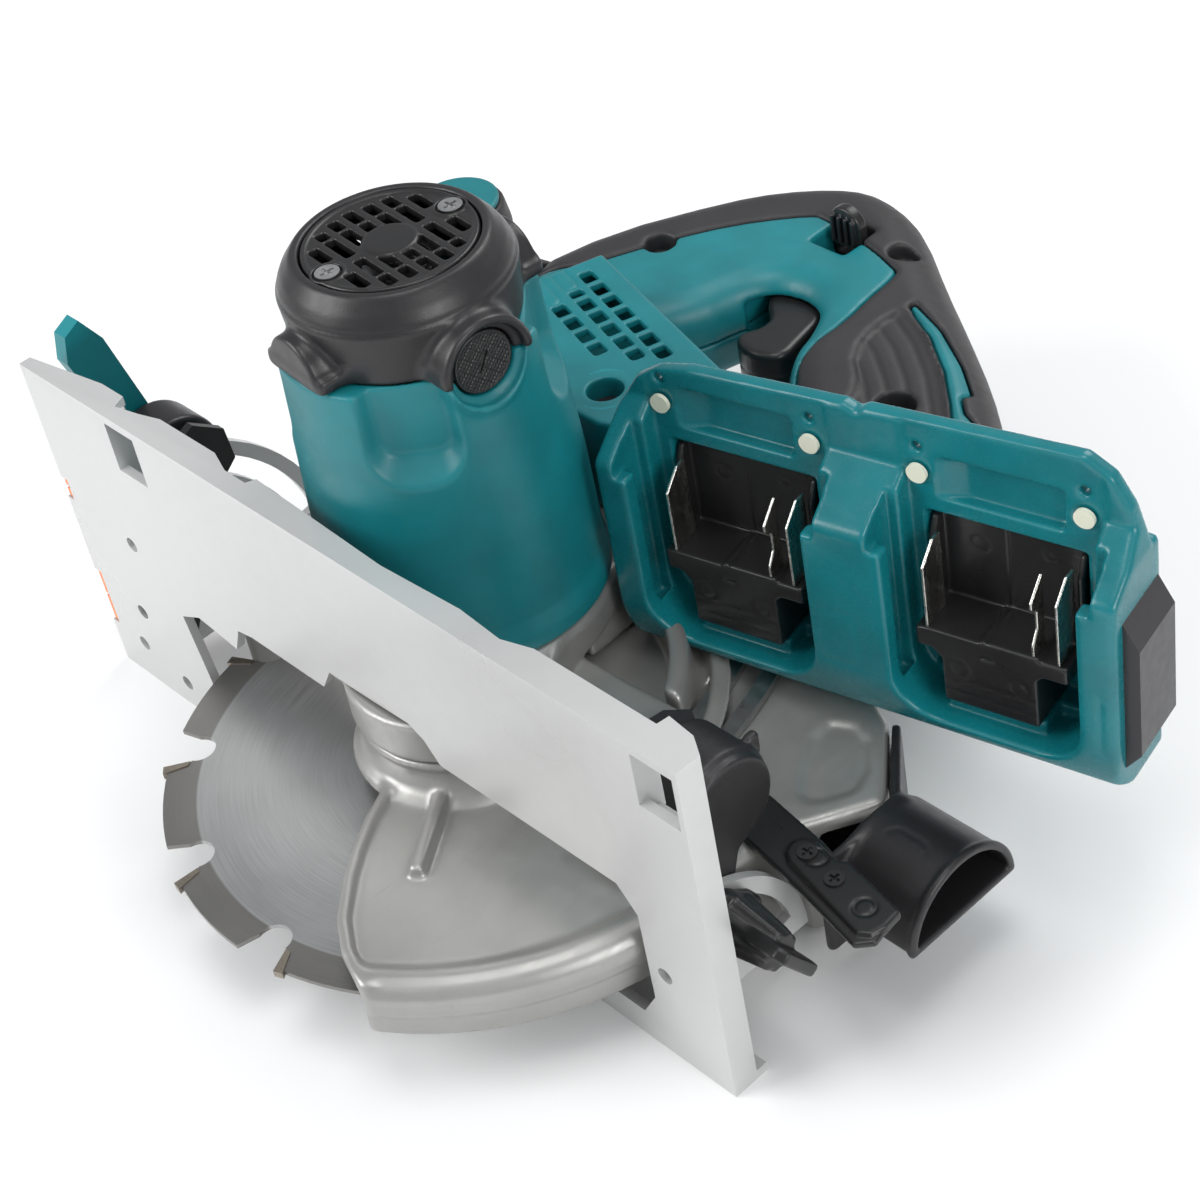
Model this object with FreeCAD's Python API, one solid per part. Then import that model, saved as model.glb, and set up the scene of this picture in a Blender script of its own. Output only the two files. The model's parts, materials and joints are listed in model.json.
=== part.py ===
import FreeCAD, Part
import math
import os

# Twin battery circular saw, lying on its blade side with the motor on top.
# +X points to the rear of the saw, +Y from the sole up to the handle, +Z from the blade to the motor.
# All shapes are drawn with the blade's middle plane at z = 0, the sole at y = 0 and the arbor at x = 0.
# save() then moves them so that the row's origin is at the bottom centre of the whole saw.

# driving dimensions, in mm
blade_radius = 95.0
blade_plate = 1.4
tooth_count = 12
first_tip = 14.0
arbor_y = 28.0
motor_x = -18.5
motor_y = 53.0
base_front = -154.2
base_rear = 129.8
base_right = -28.4
base_left = 92.5
base_sheet = 3.0
base_wall = 9.4
gear_teeth = 42
pinion_teeth = 8
handle_mid = 40.0
handle_half = 17.0
vent_face = 75.0
bay_tilt = 13.0
bay_pitch = 79.0
pivot_x = -112.0
pivot_y = 26.0
grip_x = -138.0
grip_y = 158.0
bevel_y = 9.0
bevel_z = -14.0
clamp_y = 32.0
clamp_z = 42.0
fit_gap = 0.05
origin_x = 8.0
origin_y = 98.3

gear_centres = math.hypot(motor_x, motor_y - arbor_y)
gear_module = 2 * gear_centres / (gear_teeth + pinion_teeth)
arbor = (0.0, arbor_y)
motor = (motor_x, motor_y)
V = FreeCAD.Vector
Z_AXIS = V(0, 0, 1)
X_AXIS = V(1, 0, 0)


def save(name, shape):
    placed = shape.copy()
    placed.translate(V(-origin_x, -origin_y, -base_right))
    placed.exportStep("parts/" + name + ".step")


def cyl(radius, z0, z1, centre):
    return Part.makeCylinder(radius, z1 - z0, V(centre[0], centre[1], z0))


def tube(outer, inner, z0, z1, centre):
    return cyl(outer, z0, z1, centre).cut(cyl(inner, z0 - 1, z1 + 1, centre))


def cyl_x(radius, x0, x1, y, z):
    return Part.makeCylinder(radius, x1 - x0, V(x0, y, z), X_AXIS)


def cyl_y(radius, y0, y1, x, z):
    return Part.makeCylinder(radius, y1 - y0, V(x, y0, z), V(0, 1, 0))


def box(x0, x1, y0, y1, z0, z1):
    return Part.makeBox(x1 - x0, y1 - y0, z1 - z0, V(x0, y0, z0))


def plate(points, z0, z1):
    corners = [V(x, y, z0) for x, y in points]
    face = Part.Face(Part.makePolygon(corners + corners[:1]))
    return face.extrude(V(0, 0, z1 - z0))


def plate_x(points, x0, x1):
    corners = [V(x0, y, z) for y, z in points]
    face = Part.Face(Part.makePolygon(corners + corners[:1]))
    return face.extrude(V(x1 - x0, 0, 0))


def plate_y(points, y0, y1):
    corners = [V(x, y0, z) for x, z in points]
    face = Part.Face(Part.makePolygon(corners + corners[:1]))
    return face.extrude(V(0, y1 - y0, 0))


def turned(profile, centre):
    corners = [V(centre[0] + r, centre[1], z) for r, z in profile]
    face = Part.Face(Part.makePolygon(corners + corners[:1]))
    return face.revolve(V(centre[0], centre[1], 0), Z_AXIS, 360)


def sector(outer, inner, start, end, z0, z1, centre):
    solid = Part.makeCylinder(outer, z1 - z0, V(0, 0, 0), Z_AXIS, end - start)
    hole = Part.makeCylinder(inner, z1 - z0 + 2, V(0, 0, -1), Z_AXIS, 360)
    solid = solid.cut(hole)
    solid.rotate(V(0, 0, 0), Z_AXIS, start)
    solid.translate(V(centre[0], centre[1], z0))
    return solid


def about(shape, centre, degrees):
    turned_copy = shape.copy()
    turned_copy.rotate(V(centre[0], centre[1], 0), Z_AXIS, degrees)
    return turned_copy


def fused(shapes):
    whole = shapes[0].fuse(shapes[1:]) if len(shapes) > 1 else shapes[0]
    return whole.removeSplitter()


def less(shape, cutters):
    return shape.cut(cutters).removeSplitter()


def polar(radius, degrees, centre):
    angle = math.radians(degrees)
    return (centre[0] + radius * math.cos(angle), centre[1] + radius * math.sin(angle))


# ---------------------------------------------------------------- blade and spindle

bolt_radius = 10.0
bolt_shank = 4.0
nose_radius = 26.6
gear_phase = 180.0 / gear_teeth
spindle_radius = 8.0
flange_radius = 20.0


def saw_blade():
    disc = cyl(blade_radius - 1.6, -blade_plate / 2, blade_plate / 2, arbor)
    gullets = []
    for index in range(tooth_count):
        tip = index * 360.0 / tooth_count + first_tip
        centre = polar(blade_radius - 9.2, tip - 6.2, arbor)
        gullets.append(cyl(5.2, -2, 2, centre))
        mouth = [polar(blade_radius - 12.5, tip - 8.6, arbor), polar(blade_radius - 8.0, tip - 2.4, arbor),
                 polar(blade_radius + 2, tip - 1.0, arbor), polar(blade_radius + 2, tip - 11.5, arbor)]
        gullets.append(plate(mouth, -2, 2))
    gullets.append(cyl(spindle_radius, -2, 2, arbor))
    body = less(disc, gullets + carbide_tips())
    return max(body.Solids, key=lambda solid: solid.Volume)


def carbide_tips():
    tips = []
    for index in range(tooth_count):
        tip = index * 360.0 / tooth_count + first_tip
        corners = [polar(blade_radius - 8.0, tip - 2.4, arbor), polar(blade_radius, tip - 1.2, arbor),
                   polar(blade_radius - 0.4, tip + 0.6, arbor), polar(blade_radius - 7.6, tip - 1.2, arbor)]
        tips.append(plate(corners, -1.1, 1.1))
    return tips


def gear_wheel(teeth, z0, z1, centre, phase, shrink):
    """Straight spur gear with trapezoid teeth; shrink is the gap left on each flank at the pitch circle."""
    pitch = gear_module * teeth / 2
    root = pitch - 1.25 * gear_module
    outer = pitch + 0.85 * gear_module
    half = 90.0 / teeth
    thin = math.degrees(shrink / pitch)
    flanks = ((root, -1.5), (pitch, -1.0), (outer, -0.42), (outer, 0.42), (pitch, 1.0), (root, 1.5))
    points = []
    for index in range(teeth):
        mid = phase + index * 360.0 / teeth
        for radius, spread in flanks:
            sign = 1 if spread > 0 else -1
            points.append(polar(radius, mid + half * spread - sign * thin, centre))
    return plate(points, z0, z1)


def spindle_parts():
    inner_flange = less(tube(flange_radius, spindle_radius, blade_plate / 2, 6.5, arbor),
                        [tube(flange_radius - 3, spindle_radius + 4, 0.5, 1.6, arbor)])
    outer_flange = tube(flange_radius, bolt_shank, -4.7, -blade_plate / 2, arbor)
    save("inner_flange", inner_flange)
    save("outer_flange", outer_flange)
    shaft = fused([cyl(spindle_radius, -0.6, 27.5, arbor), cyl(6.0, 27.5, 39.5, arbor)])
    shaft = less(shaft, [cyl(bolt_shank, -2, 14, arbor)])
    save("spindle", shaft)
    hexagon = [polar(5.0, 60 * side, arbor) for side in range(6)]
    bolt = fused([cyl(bolt_radius, -11.5, -4.7, arbor), cyl(bolt_shank, -4.7, 12, arbor)])
    save("arbor_bolt", less(bolt, [plate(hexagon, -12, -7.5)]))
    save("blade", saw_blade())
    save("carbide_tips", Part.makeCompound(carbide_tips()))
    wheel = gear_wheel(gear_teeth, 28.0, 35.5, arbor, gear_phase, 0.12)
    web = tube(20.5, 11.0, 27.9, 29.8, arbor).fuse(tube(20.5, 11.0, 33.7, 35.6, arbor))
    save("drive_gear", less(wheel, [cyl(6.0, 27, 37, arbor), web]))


# ---------------------------------------------------------------- motor

def pinion_phase():
    """Turns the pinion so that one of its gaps meets the gear tooth that lies on the line of centres."""
    line = math.degrees(math.atan2(motor_y - arbor_y, motor_x))
    tooth_step = 360.0 / gear_teeth
    from_gear = line - gear_phase
    offset = (from_gear - round(from_gear / tooth_step) * tooth_step) * gear_teeth / pinion_teeth
    return line + 180 + 180.0 / pinion_teeth + offset


def armature_parts():
    shaft = fused([cyl(5.0, 38.5, 150.5, motor), cyl(3.2, 27.4, 38.5, motor)])
    save("armature_shaft", shaft)
    pinion = gear_wheel(pinion_teeth, 27.6, 37.5, motor, pinion_phase(), 0.12)
    save("pinion", less(pinion, [cyl(3.2, 27, 38, motor)]))
    core = cyl(23.5, 60.0, 102.0, motor)
    slots = [cyl(2.3, 59, 103, polar(22.2, 30 * index, motor)) for index in range(12)]
    save("armature_core", less(core, slots + [cyl(5.0, 59, 103, motor)]))
    windings = [tube(19.5, 5.0, 55.5, 60.0, motor), tube(19.5, 5.0, 102.0, 110.0, motor)]
    save("armature_windings", Part.makeCompound(windings))
    save("commutator", tube(10.5, 5.0, 122.0, 142.0, motor))
    blades = [tube(29.5, 5.0, 45.5, 47.5, motor)]
    for index in range(11):
        vane = box(13.0, 29.0, -0.8, 0.8, 47.0, 53.5)
        vane.translate(V(motor_x, motor_y, 0))
        blades.append(about(vane, motor, index * 360.0 / 11))
    save("cooling_fan", fused(blades))


brush_turn = -5.0
brush_height = 134.0
cap_radius = 9.2
cap_hole = 9.4
boss_radius = 13.6
boss_reach = 38.4
housing_top = 132.9
cover_bottom = 133.1


def brush_set(radius, r0, r1):
    """Two rods across the motor, one on each side, at the height of the brushes."""
    pieces = []
    for side in (0, 180):
        rod = cyl_x(radius, r0, r1, 0, brush_height)
        rod.translate(V(motor_x, motor_y, 0))
        pieces.append(about(rod, motor, brush_turn + side))
    return pieces


def motor_recesses():
    """Four U shaped hollows round the motor, each with a flat floor and sloping walls."""
    floor = Part.makeCone(9.4, 22.0, 14.0, V(32.5, 0, 121), X_AXIS)
    walls = plate([(32.5, -9.4), (46.5, -22.0), (46.5, 22.0), (32.5, 9.4)], 121, 140)
    hollow = fused([floor, walls])
    hollow.translate(V(motor_x, motor_y, 0))
    return [about(hollow, motor, brush_turn - 38 + 90 * index) for index in range(4)]


def motor_bosses():
    """Four round bosses between the hollows; two of them hold the brushes."""
    bosses = []
    for index in range(4):
        rod = cyl_x(boss_radius, 27, boss_reach, 0, brush_height)
        rod.translate(V(motor_x, motor_y, 0))
        bosses.append(about(rod, motor, brush_turn + 90 * index))
    return bosses


def motor_shell():
    """Teal field housing: a tapered shell with four hollows, half of each boss and a gear side flange."""
    outer = turned([(0, 40.4), (41.5, 40.4), (41.5, 46), (40.4, 52), (40.0, 80), (39.0, 100), (38.0, 120),
                    (37.4, housing_top), (0, housing_top)], motor)
    inner = turned([(0, 39), (37.2, 39), (37.2, 54), (34.4, 56), (34.4, 96), (30.2, 106), (30.2, 150),
                    (0, 150)], motor)
    shell = less(outer, motor_recesses())
    shell = fused([shell] + motor_bosses())
    above = cyl(60, housing_top, 160, motor)
    return less(shell, [inner, above] + brush_set(cap_hole, 20, 50))


def end_shell():
    """Black rear cover over the brushes and the commutator, with the other half of each boss."""
    outer = turned([(0, cover_bottom), (32.5, cover_bottom), (32.3, 149), (30.5, 151.5), (27.4, 157.2),
                    (26.4, 158), (0, 158)], motor)
    inner = turned([(0, 132), (29.6, 132), (29.4, 147), (26.5, 150.5), (24.6, 152), (24.6, 159),
                    (0, 159)], motor)
    shell = fused([outer] + motor_bosses())
    shell = less(shell, [inner, cyl(60, 100, cover_bottom, motor)])
    spider = fused([tube(11.5, 9.0 + fit_gap, 143.5, 150.5, motor)] + end_arms())
    return less(fused([shell, spider]), brush_set(cap_hole, 20, 50))


def end_arms():
    arms = []
    for index in range(4):
        arm = box(11.0, 30.5, -1.5, 1.5, 143.5, 147.5)
        arm.translate(V(motor_x, motor_y, 0))
        arms.append(about(arm, motor, 40 + 90 * index))
    return arms


grille_radius = 24.2
grille_turn = -5.0


def grille():
    """Round intake grille: rows of slots across it, a plain round middle and two screw bosses."""
    disc = cyl(grille_radius, 154.6, 157.6, motor)
    rows = []
    for index in range(-3, 4):
        across = index * 6.1
        reach = math.sqrt(max(0.0, 21.6 ** 2 - across ** 2))
        bar = 9.5 + 0.9 * (index % 2)
        for start, end in ((-reach, -bar), (-8.0, 8.0), (bar, reach)):
            if end - start > 3:
                rows.append(box(start, end, across - 1.9, across + 1.9, 150, 160))
    bosses = [cyl(4.6, 150, 160, (0, sign * 20.0)) for sign in (-1, 1)]
    slots = Part.makeCompound(rows).cut([cyl(7.6, 149, 161, (0, 0))] + bosses)
    slots.rotate(V(0, 0, 0), Z_AXIS, grille_turn)
    slots.translate(V(motor_x, motor_y, 0))
    seats = [cyl(1.5 + fit_gap, 150, 160, spot) for spot in grille_spots()]
    heads = [cyl(3.6, 156.4, 160, spot) for spot in grille_spots()]
    return less(disc, [slots] + seats + heads)


def grille_spots():
    return [polar(20.0, grille_turn + side, motor) for side in (90, 270)]


def screw(radius, head, z_top, depth, length, centre):
    """Pan head screw with a cross recess, pointing down from z_top."""
    under_head = z_top - depth
    shank = cyl(radius, under_head - length, under_head, centre)
    body = fused([cyl(head, under_head, z_top, centre), shank])
    cross = fused([box(-head * 0.62, head * 0.62, -0.45, 0.45, z_top - depth * 0.6, z_top + 1),
                   box(-0.45, 0.45, -head * 0.62, head * 0.62, z_top - depth * 0.6, z_top + 1)])
    cross.translate(V(centre[0], centre[1], 0))
    return body.cut(cross)


def motor_parts():
    save("motor_housing", motor_shell())
    save("motor_end_cover", end_shell())
    save("motor_grille", grille())
    screws = [screw(1.5, 3.4, 157.9, 1.5, 14, spot) for spot in grille_spots()]
    save("grille_screws", Part.makeCompound(screws))
    caps = brush_set(cap_radius, 33.5, 36.0)
    slots = []
    for side in (0, 180):
        slot = box(35.2, 37, -5, 5, brush_height - 0.8, brush_height + 0.8)
        slot.translate(V(motor_x, motor_y, 0))
        slots.append(about(slot, motor, brush_turn + side))
    save("brush_caps", Part.makeCompound([cap.cut(slots) for cap in caps]))
    save("carbon_brushes", Part.makeCompound(brush_set(3.0, 10.7, 33.4)))
    save("stator_can", tube(34.2, 31.5, 56.2, 95.8, motor))
    magnets = [sector(31.3, 24.2, start, start + 130, 58, 94, motor) for start in (25, 205)]
    save("stator_magnets", Part.makeCompound(magnets))
    rings = [tube(11.0, 5.0 + fit_gap, 38.6, 44.6, motor), tube(9.0, 5.0 + fit_gap, 143.5, 150.0, motor)]
    save("armature_bearings", Part.makeCompound(rings))


# ---------------------------------------------------------------- gear housing and blade case

def gear_housing():
    """Cast head: spindle nose, gear room, motor flange, front pivot lug and seat for the blade case."""
    gear_drum = cyl(31.4, 24.6, 39.4, arbor)
    motor_flange = cyl(41.5, 27.0, 40.0, motor)
    nose = cyl(nose_radius, 8.4, 24.6, arbor)
    body = fused([gear_drum, motor_flange, nose])
    seat = plate([(-52, 66), (14, 66), (12, 100), (-44, 100)], 15.0, 40.0)
    lug = plate([(-112, 15), (-50, 18), (-34, 60), (-60, 62), (-112, 37)], 21.0, 33.0)
    lug = fused([lug, cyl(11.0, 21.0, 33.0, (pivot_x, pivot_y))])
    clamp_lug = plate([(10, 40), (66, 42), (76, 50), (70, 60), (20, 58)], 24.6, 27.0)
    clamp_lug = fused([clamp_lug, cyl(9.0, 18.6, 24.6, clamp_spot)])
    room = fused([cyl(29.2, 27.0, 37.0, arbor), cyl(9.0, 27.0, 37.0, motor)])
    cuts = [room, cyl(11.0 + fit_gap, 36.0, 41.0, motor), cyl(15.0, 10.0, 25.0, arbor),
            cyl(8.6, 7.0, 28.0, arbor), cyl(4.0 + fit_gap, 20, 34, (pivot_x, pivot_y)),
            cyl(3.0 + fit_gap, 18, 28, clamp_spot), cyl(6.0 + fit_gap, 36, 41, arbor)]
    lock_hole = fused([cyl_x(3.6, 30.5, 40, arbor_y, lock_z), cyl_x(0.9, 28, 31, arbor_y, lock_z)])
    return less(fused([body, seat, lug, clamp_lug]), cuts + [lock_hole])


lock_z = 31.5
guide_radius = 180.0
guide_width = 16.0
clamp_spot = polar(guide_radius, 8.0, (pivot_x, pivot_y))
case_inner = 105.4
case_outer = 108.4
case_floor = -25.6


def case_outline(grow):
    """Side outline of the upper guard: round over the blade, square at the dust outlet behind."""
    round_part = cyl(case_inner + grow, -40, 40, arbor)
    keep = box(-120, 104, 20, 160, -40, 40)
    chute = plate([(60, 60), (98 - grow, 57 - grow), (104 + grow, 57 - grow), (116.5 + grow, 76),
                   (96 + grow, 97 + grow), (70, 112), (50, 100)], -40, 40)
    return fused([round_part.common(keep), chute])


def blade_case():
    outer = case_outline(case_outer - case_inner).common(box(-130, 130, 0, 160, base_right, 15))
    inner = case_outline(0).common(box(-130, 130, -10, 160, case_floor, 12.6))
    mouth = box(-case_inner, 103, 0, 21, case_floor, 12.6)
    hub_gap = cyl(33.5, 10, 16, arbor).fuse(box(-33.5, 33.5, 0, arbor_y, 10, 16))
    outlet = plate_x([(60, -17), (60, 9), (84, 9), (84, -17)], 96, 125)
    bolt_gap = cyl(30, -30, -20, arbor).fuse(box(-30, 30, 0, arbor_y, -30, -20))
    bolt_seat = cyl(6.5, 12, 16, clamp_spot)
    pocket = plate([(99, 64), (103, 64.5), (108.5, 78), (94, 94), (80, 86)], 14.0, 16)
    return less(outer, [inner, mouth, hub_gap, outlet, bolt_gap, bolt_seat, pocket])


def shaft_lock():
    """Push button whose thin tip enters a gap between two gear teeth to hold the spindle still."""
    parts = [cyl_x(0.7, 28.1, 33.5, arbor_y, lock_z), cyl_x(3.5, 33.5, 42.0, arbor_y, lock_z)]
    return fused(parts + [cyl_x(6.0, 42.0, 46.5, arbor_y, lock_z)])


def head_parts():
    save("gear_housing", gear_housing())
    save("blade_case", blade_case())
    save("spindle_bearing", tube(15.0 - fit_gap, spindle_radius + fit_gap, 10.4, 19.4, arbor))
    save("shaft_lock_button", shaft_lock())


# ---------------------------------------------------------------- lower guard

guard_start = -58.0
guard_sweep = 185.0


def lower_guard():
    """Cast guard: recessed side wall, sloping rim, hub collar round the nose and one radial rib."""
    end = guard_start + guard_sweep
    edge = [(20, -98), (45, -82), (66, -73), (80, -68), (90, -63), (103, -57)]
    edge = [polar(radius, angle - 58 - guard_start, arbor) for radius, angle in edge]
    around = [polar(150, angle, arbor) for angle in (-56, -10, 40, 90, end)]
    side = cyl(100.0, 8.6, 10.8, arbor).common(plate(edge + around + [polar(20, 150, arbor)], 8.6, 10.8))
    inner_edge = [polar(math.hypot(x, y - arbor_y), math.degrees(math.atan2(y - arbor_y, x)) + 2.4, arbor)
                  for x, y in edge]
    lip = plate(edge + inner_edge[::-1], 8.6, 12.0).common(cyl(100.0, 8, 13, arbor))
    flare = turned([(95.0, -11), (95.6, -9.0), (99.2, 8.6), (99.2, 11.8), (102.2, 11.8), (103.0, 8.0),
                    (97.6, -11)], arbor)
    keep = sector(110, 60, guard_start, end, -20, 20, arbor)
    hub = cyl(31.0, 8.6, 23.6, arbor)
    rib = box(30, 60, -1.6, 1.6, 10.5, 14.5)
    rib.translate(V(0, arbor_y, 0))
    body = fused([side, lip, flare.common(keep), hub, about(rib, arbor, -55)])
    return less(body, [cyl(nose_radius + 0.1, 0, 30, arbor)])


def guard_parts():
    save("lower_guard", lower_guard())


# ---------------------------------------------------------------- handle, vent body and battery bays

handle_outer = [(-112, 158), (-104, 192), (-84, 227), (-72, 242), (-57, 254), (-44, 259.5), (-30, 258),
                (-16, 252), (8, 234), (31, 218), (53, 202), (68, 189), (84, 172), (96, 152), (100, 136)]
handle_base = [(60, 127), (18, 121), (10, 116), (12, 104), (-4, 97.5), (-52, 97.5), (-84, 118)]
finger_gap = [(-60, 148), (-42, 170), (-37, 190), (-30, 199), (-14, 199), (-7, 186), (-4, 174), (8, 160),
              (22, 149), (36, 138), (34, 131), (0, 132), (-40, 143)]
vent_body = [(-78, 126), (-67, 159), (8, 137), (18, 121), (10, 116), (12, 104), (-4, 97.5), (-46, 97.5)]
shell_wall = 3.0


def inset(points, distance, z0, z1):
    corners = [V(x, y, z0) for x, y in points]
    face = Part.Face(Part.makePolygon(corners + corners[:1]))
    return face.makeOffset2D(distance, join=2).extrude(V(0, 0, z1 - z0))


def handle_solid():
    low, high = handle_mid - handle_half, handle_mid + handle_half
    whole = plate(handle_outer + handle_base, low, high)
    cavity = inset(handle_outer + handle_base, -shell_wall, low + shell_wall, high - shell_wall)
    gap_wall = inset(finger_gap, shell_wall, low, high)
    body = whole.cut(cavity).fuse(gap_wall.common(whole))
    return body.cut(plate(finger_gap, low - 1, high + 1))


def vent_slots():
    slots = []
    slope = math.degrees(math.atan2(-16, 52))
    for row, (first, count) in enumerate(((0, 7), (1, 6), (2, 4))):
        for index in range(first, first + count):
            middle = -9.8 * row
            start = index * 7.4
            slots.append(box(start, start + 5.2, middle - 3.2, middle + 3.2, vent_face - 6, vent_face + 1))
    group = Part.makeCompound(slots)
    group.rotate(V(0, 0, 0), Z_AXIS, slope)
    group.translate(V(-61, 147, 0))
    return group


def handle_shells():
    body = handle_solid()
    left = body.common(box(-200, 200, 0, 300, handle_mid, 100))
    right = body.common(box(-200, 200, 0, 300, 0, handle_mid))
    vent = plate(vent_body, handle_mid + handle_half - shell_wall, vent_face)
    vent_cavity = inset(vent_body, -shell_wall, handle_mid, vent_face - shell_wall)
    motor_gap = cyl(42.2, 0, 100, motor)
    trigger_slot = plate([(-39, 190), (-12, 170), (-1, 170), (-2, 208), (-39, 208)], handle_mid - 9.6,
                         handle_mid + 9.6)
    left = fused([left, vent.cut(vent_cavity)])
    left = left.cut([inset(vent_body, -shell_wall, handle_mid + 5, handle_mid + handle_half + 1)])
    left = less(left, [vent_slots(), motor_gap, box(-36.4, -21.6, 219.6, 242, 48, 60), trigger_slot])
    right = less(right, [motor_gap, box(-60, 60, 60, 100.6, 0, 41), trigger_slot])
    return left, right


def grip_cover():
    """Soft cover along the back of the hand grip."""
    low, high = handle_mid - handle_half, handle_mid + handle_half
    profile = handle_outer + handle_base
    band = inset(profile, 2.4, low, high).cut(plate(profile, low - 1, high + 1))
    back = plate([(-130, 190), (-100, 190), (-60, 225), (60, 170), (88, 154), (130, 154), (130, 290),
                  (-130, 290)], low, high)
    return band.common(back)


bay_corner_x = 19.8
bay_corner_y = 92.6
bay_length = 152.0
bay_depth = 18.0
bay_floor = 27.0
bay_top = 117.0
bay_side = 95.0
bay_width = 55.0
bay_first = 6.8
ceiling_back = 9.0
ceiling_edge = 5.4
bay_outline = [(-3, 20.5), (152, 20.5), (152, 92), (148.5, 104), (143.5, 112.5), (136, 117), (74.5, 114.4),
               (71.5, 112.6), (68, 114.1), (20, 111.6), (9, 109), (2, 104.5), (-3, 97)]


def bay_frame(shape):
    """Moves a shape drawn along the tilted bay ceiling (x along it, y up from it) to its place."""
    placed = shape.copy()
    placed.rotate(V(0, 0, 0), Z_AXIS, bay_tilt)
    placed.translate(V(bay_corner_x, bay_corner_y, 0))
    return placed


def bay_starts():
    return [bay_first, bay_first + bay_pitch]


def rounded_bay(start):
    """Room for one battery: open below and on the motor side, with two round corners at its closed end."""
    bay = box(start, start + bay_width, -bay_depth - 1, 0, bay_floor, bay_top + 1)
    low = []
    for edge in bay.Edges:
        deep = abs(edge.Vertexes[0].Y - edge.Vertexes[-1].Y) > 5
        if deep and abs(edge.CenterOfMass.z - bay_floor) < 0.1:
            low.append(edge)
    return bay.makeFillet(16.0, low)


def battery_housing():
    """Twin bay: a ceiling with walls on three sides of each bay, open at the top for the batteries."""
    block = box(-3.0, bay_length, -bay_depth, ceiling_back, 20.5, bay_top)
    block = block.common(plate_y(bay_outline, -40, 40))
    root = box(-3.0, bay_length - 8, 0, 24, 20.5, 58)
    cuts = [box(-4, bay_length + 1, -bay_depth - 1, 0, bay_side, bay_top + 1),
            box(-4, bay_length + 1, ceiling_edge, ceiling_back + 1, 92, bay_top + 1)]
    for start in bay_starts():
        cuts.append(rounded_bay(start))
        cuts.append(box(start + 5, start + 50, -1, 7.0, 31, 86))
        cuts.append(box(start + 9, start + 45, -1, 3.4, 91.7, 104.5))
    hollow = box(0, bay_length - 11, 11, 21, 23.5, 55)
    housing = bay_frame(less(block.fuse(root), cuts + [hollow]))
    return less(housing, [cyl(42.2, 0, 130, motor)])


def bay_group(build):
    return Part.makeCompound([bay_frame(build(start)) for start in bay_starts()])


def terminal_block(start):
    """Black carrier: a flat back, a shelf that the contacts stand on, and a narrower foot."""
    back = box(start + 5.4, start + 49.6, 4.5, 6.6, 56, 85.6)
    shelf = box(start + 5.4, start + 49.6, -12.0, 6.6, 50, 56)
    foot = box(start + 12.5, start + 40.5, -12.0, 6.6, 32, 50)
    return fused([back, shelf, foot])


def contacts(start):
    blades = []
    for offset, width in ((8.0, 10.5), (46.2, 10.5), (39.0, 7.0)):
        blades.append(box(start + offset, start + offset + 0.9, -11.5, width - 11.5, 56.0, 82))
    return blades


def bay_pads():
    pads = []
    for start in bay_starts():
        for offset in (4.0, 51.0):
            pads.append(bay_frame(cyl_y(2.9, -1.2, 0.0, start + offset - 0.6, 98.7)))
    return Part.makeCompound(pads)


def rear_bumper():
    bumper = plate_y([(0, 30), (4.5, 36), (4.5, 72), (0, 80)], -14, 7)
    bumper.translate(V(bay_length, 0, 0))
    return bay_frame(bumper)


def handle_parts():
    left, right = handle_shells()
    housing = battery_housing()
    left = less(left, [housing])
    right = less(right, [housing])
    save("battery_housing", housing)
    save("handle_left", left)
    save("handle_right", right)
    save("grip_cover", grip_cover())
    save("terminal_blocks", bay_group(terminal_block))
    blades = [bay_frame(blade) for start in bay_starts() for blade in contacts(start)]
    save("terminal_contacts", Part.makeCompound(blades))
    save("bay_pads", bay_pads())
    save("rear_bumper", rear_bumper())
    save("switch_body", box(-34, -4, 209, 226, 31, 49))
    save("control_module", box(-48, -8, 106, 122, 46, 68))
    save("front_grip", less(front_grip(), [inset(handle_outer + handle_base, 2.5, 0, 100)]))
    save("front_grip_cap", cyl(14.3, 69.0, 70.6, (grip_x, grip_y)))


def front_grip():
    """Front knob across the nose of the saw, black with a plain end disc on the motor side."""
    stem = plate([(-138, 143), (-140, 172), (-128, 174), (-112, 172), (-100, 182), (-84, 196), (-84, 130),
                  (-108, 136)], 30, 48)
    knob = turned([(0, 26), (16.8, 26), (17.2, 60), (15.4, 69), (0, 69)], (grip_x, grip_y))
    return fused([stem, knob])


def control_parts():
    points = [(-37, 201.6), (-31, 203), (-20, 203), (-13, 201), (-10.5, 187), (-8.2, 176), (-18, 171),
              (-27, 173.5), (-30, 178), (-26, 184), (-27, 190), (-34, 195)]
    save("trigger", plate(points, handle_mid - 9, handle_mid + 9))
    ridges = [box(-34 + 2.8 * index, -32.6 + 2.8 * index, 226.6, 228, 54, 63) for index in range(4)]
    leaf = fused([box(-36.0, -22.6, 228, 232, 52, 60), cyl_y(6.7, 228, 232, -29.3, 60)])
    save("lock_off_lever", fused([leaf] + ridges))


# ---------------------------------------------------------------- dust nozzle

nozzle_y = 71.0
nozzle_z = -4.0


def half_round(shrink, x0, x1):
    """D shaped bar along x: flat underneath, round on the motor side."""
    bar = cyl_x(20.5 - shrink, x0, x1, nozzle_y, nozzle_z)
    return bar.common(box(x0, x1, nozzle_y - 30, nozzle_y + 30, nozzle_z + shrink, nozzle_z + 30))


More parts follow.
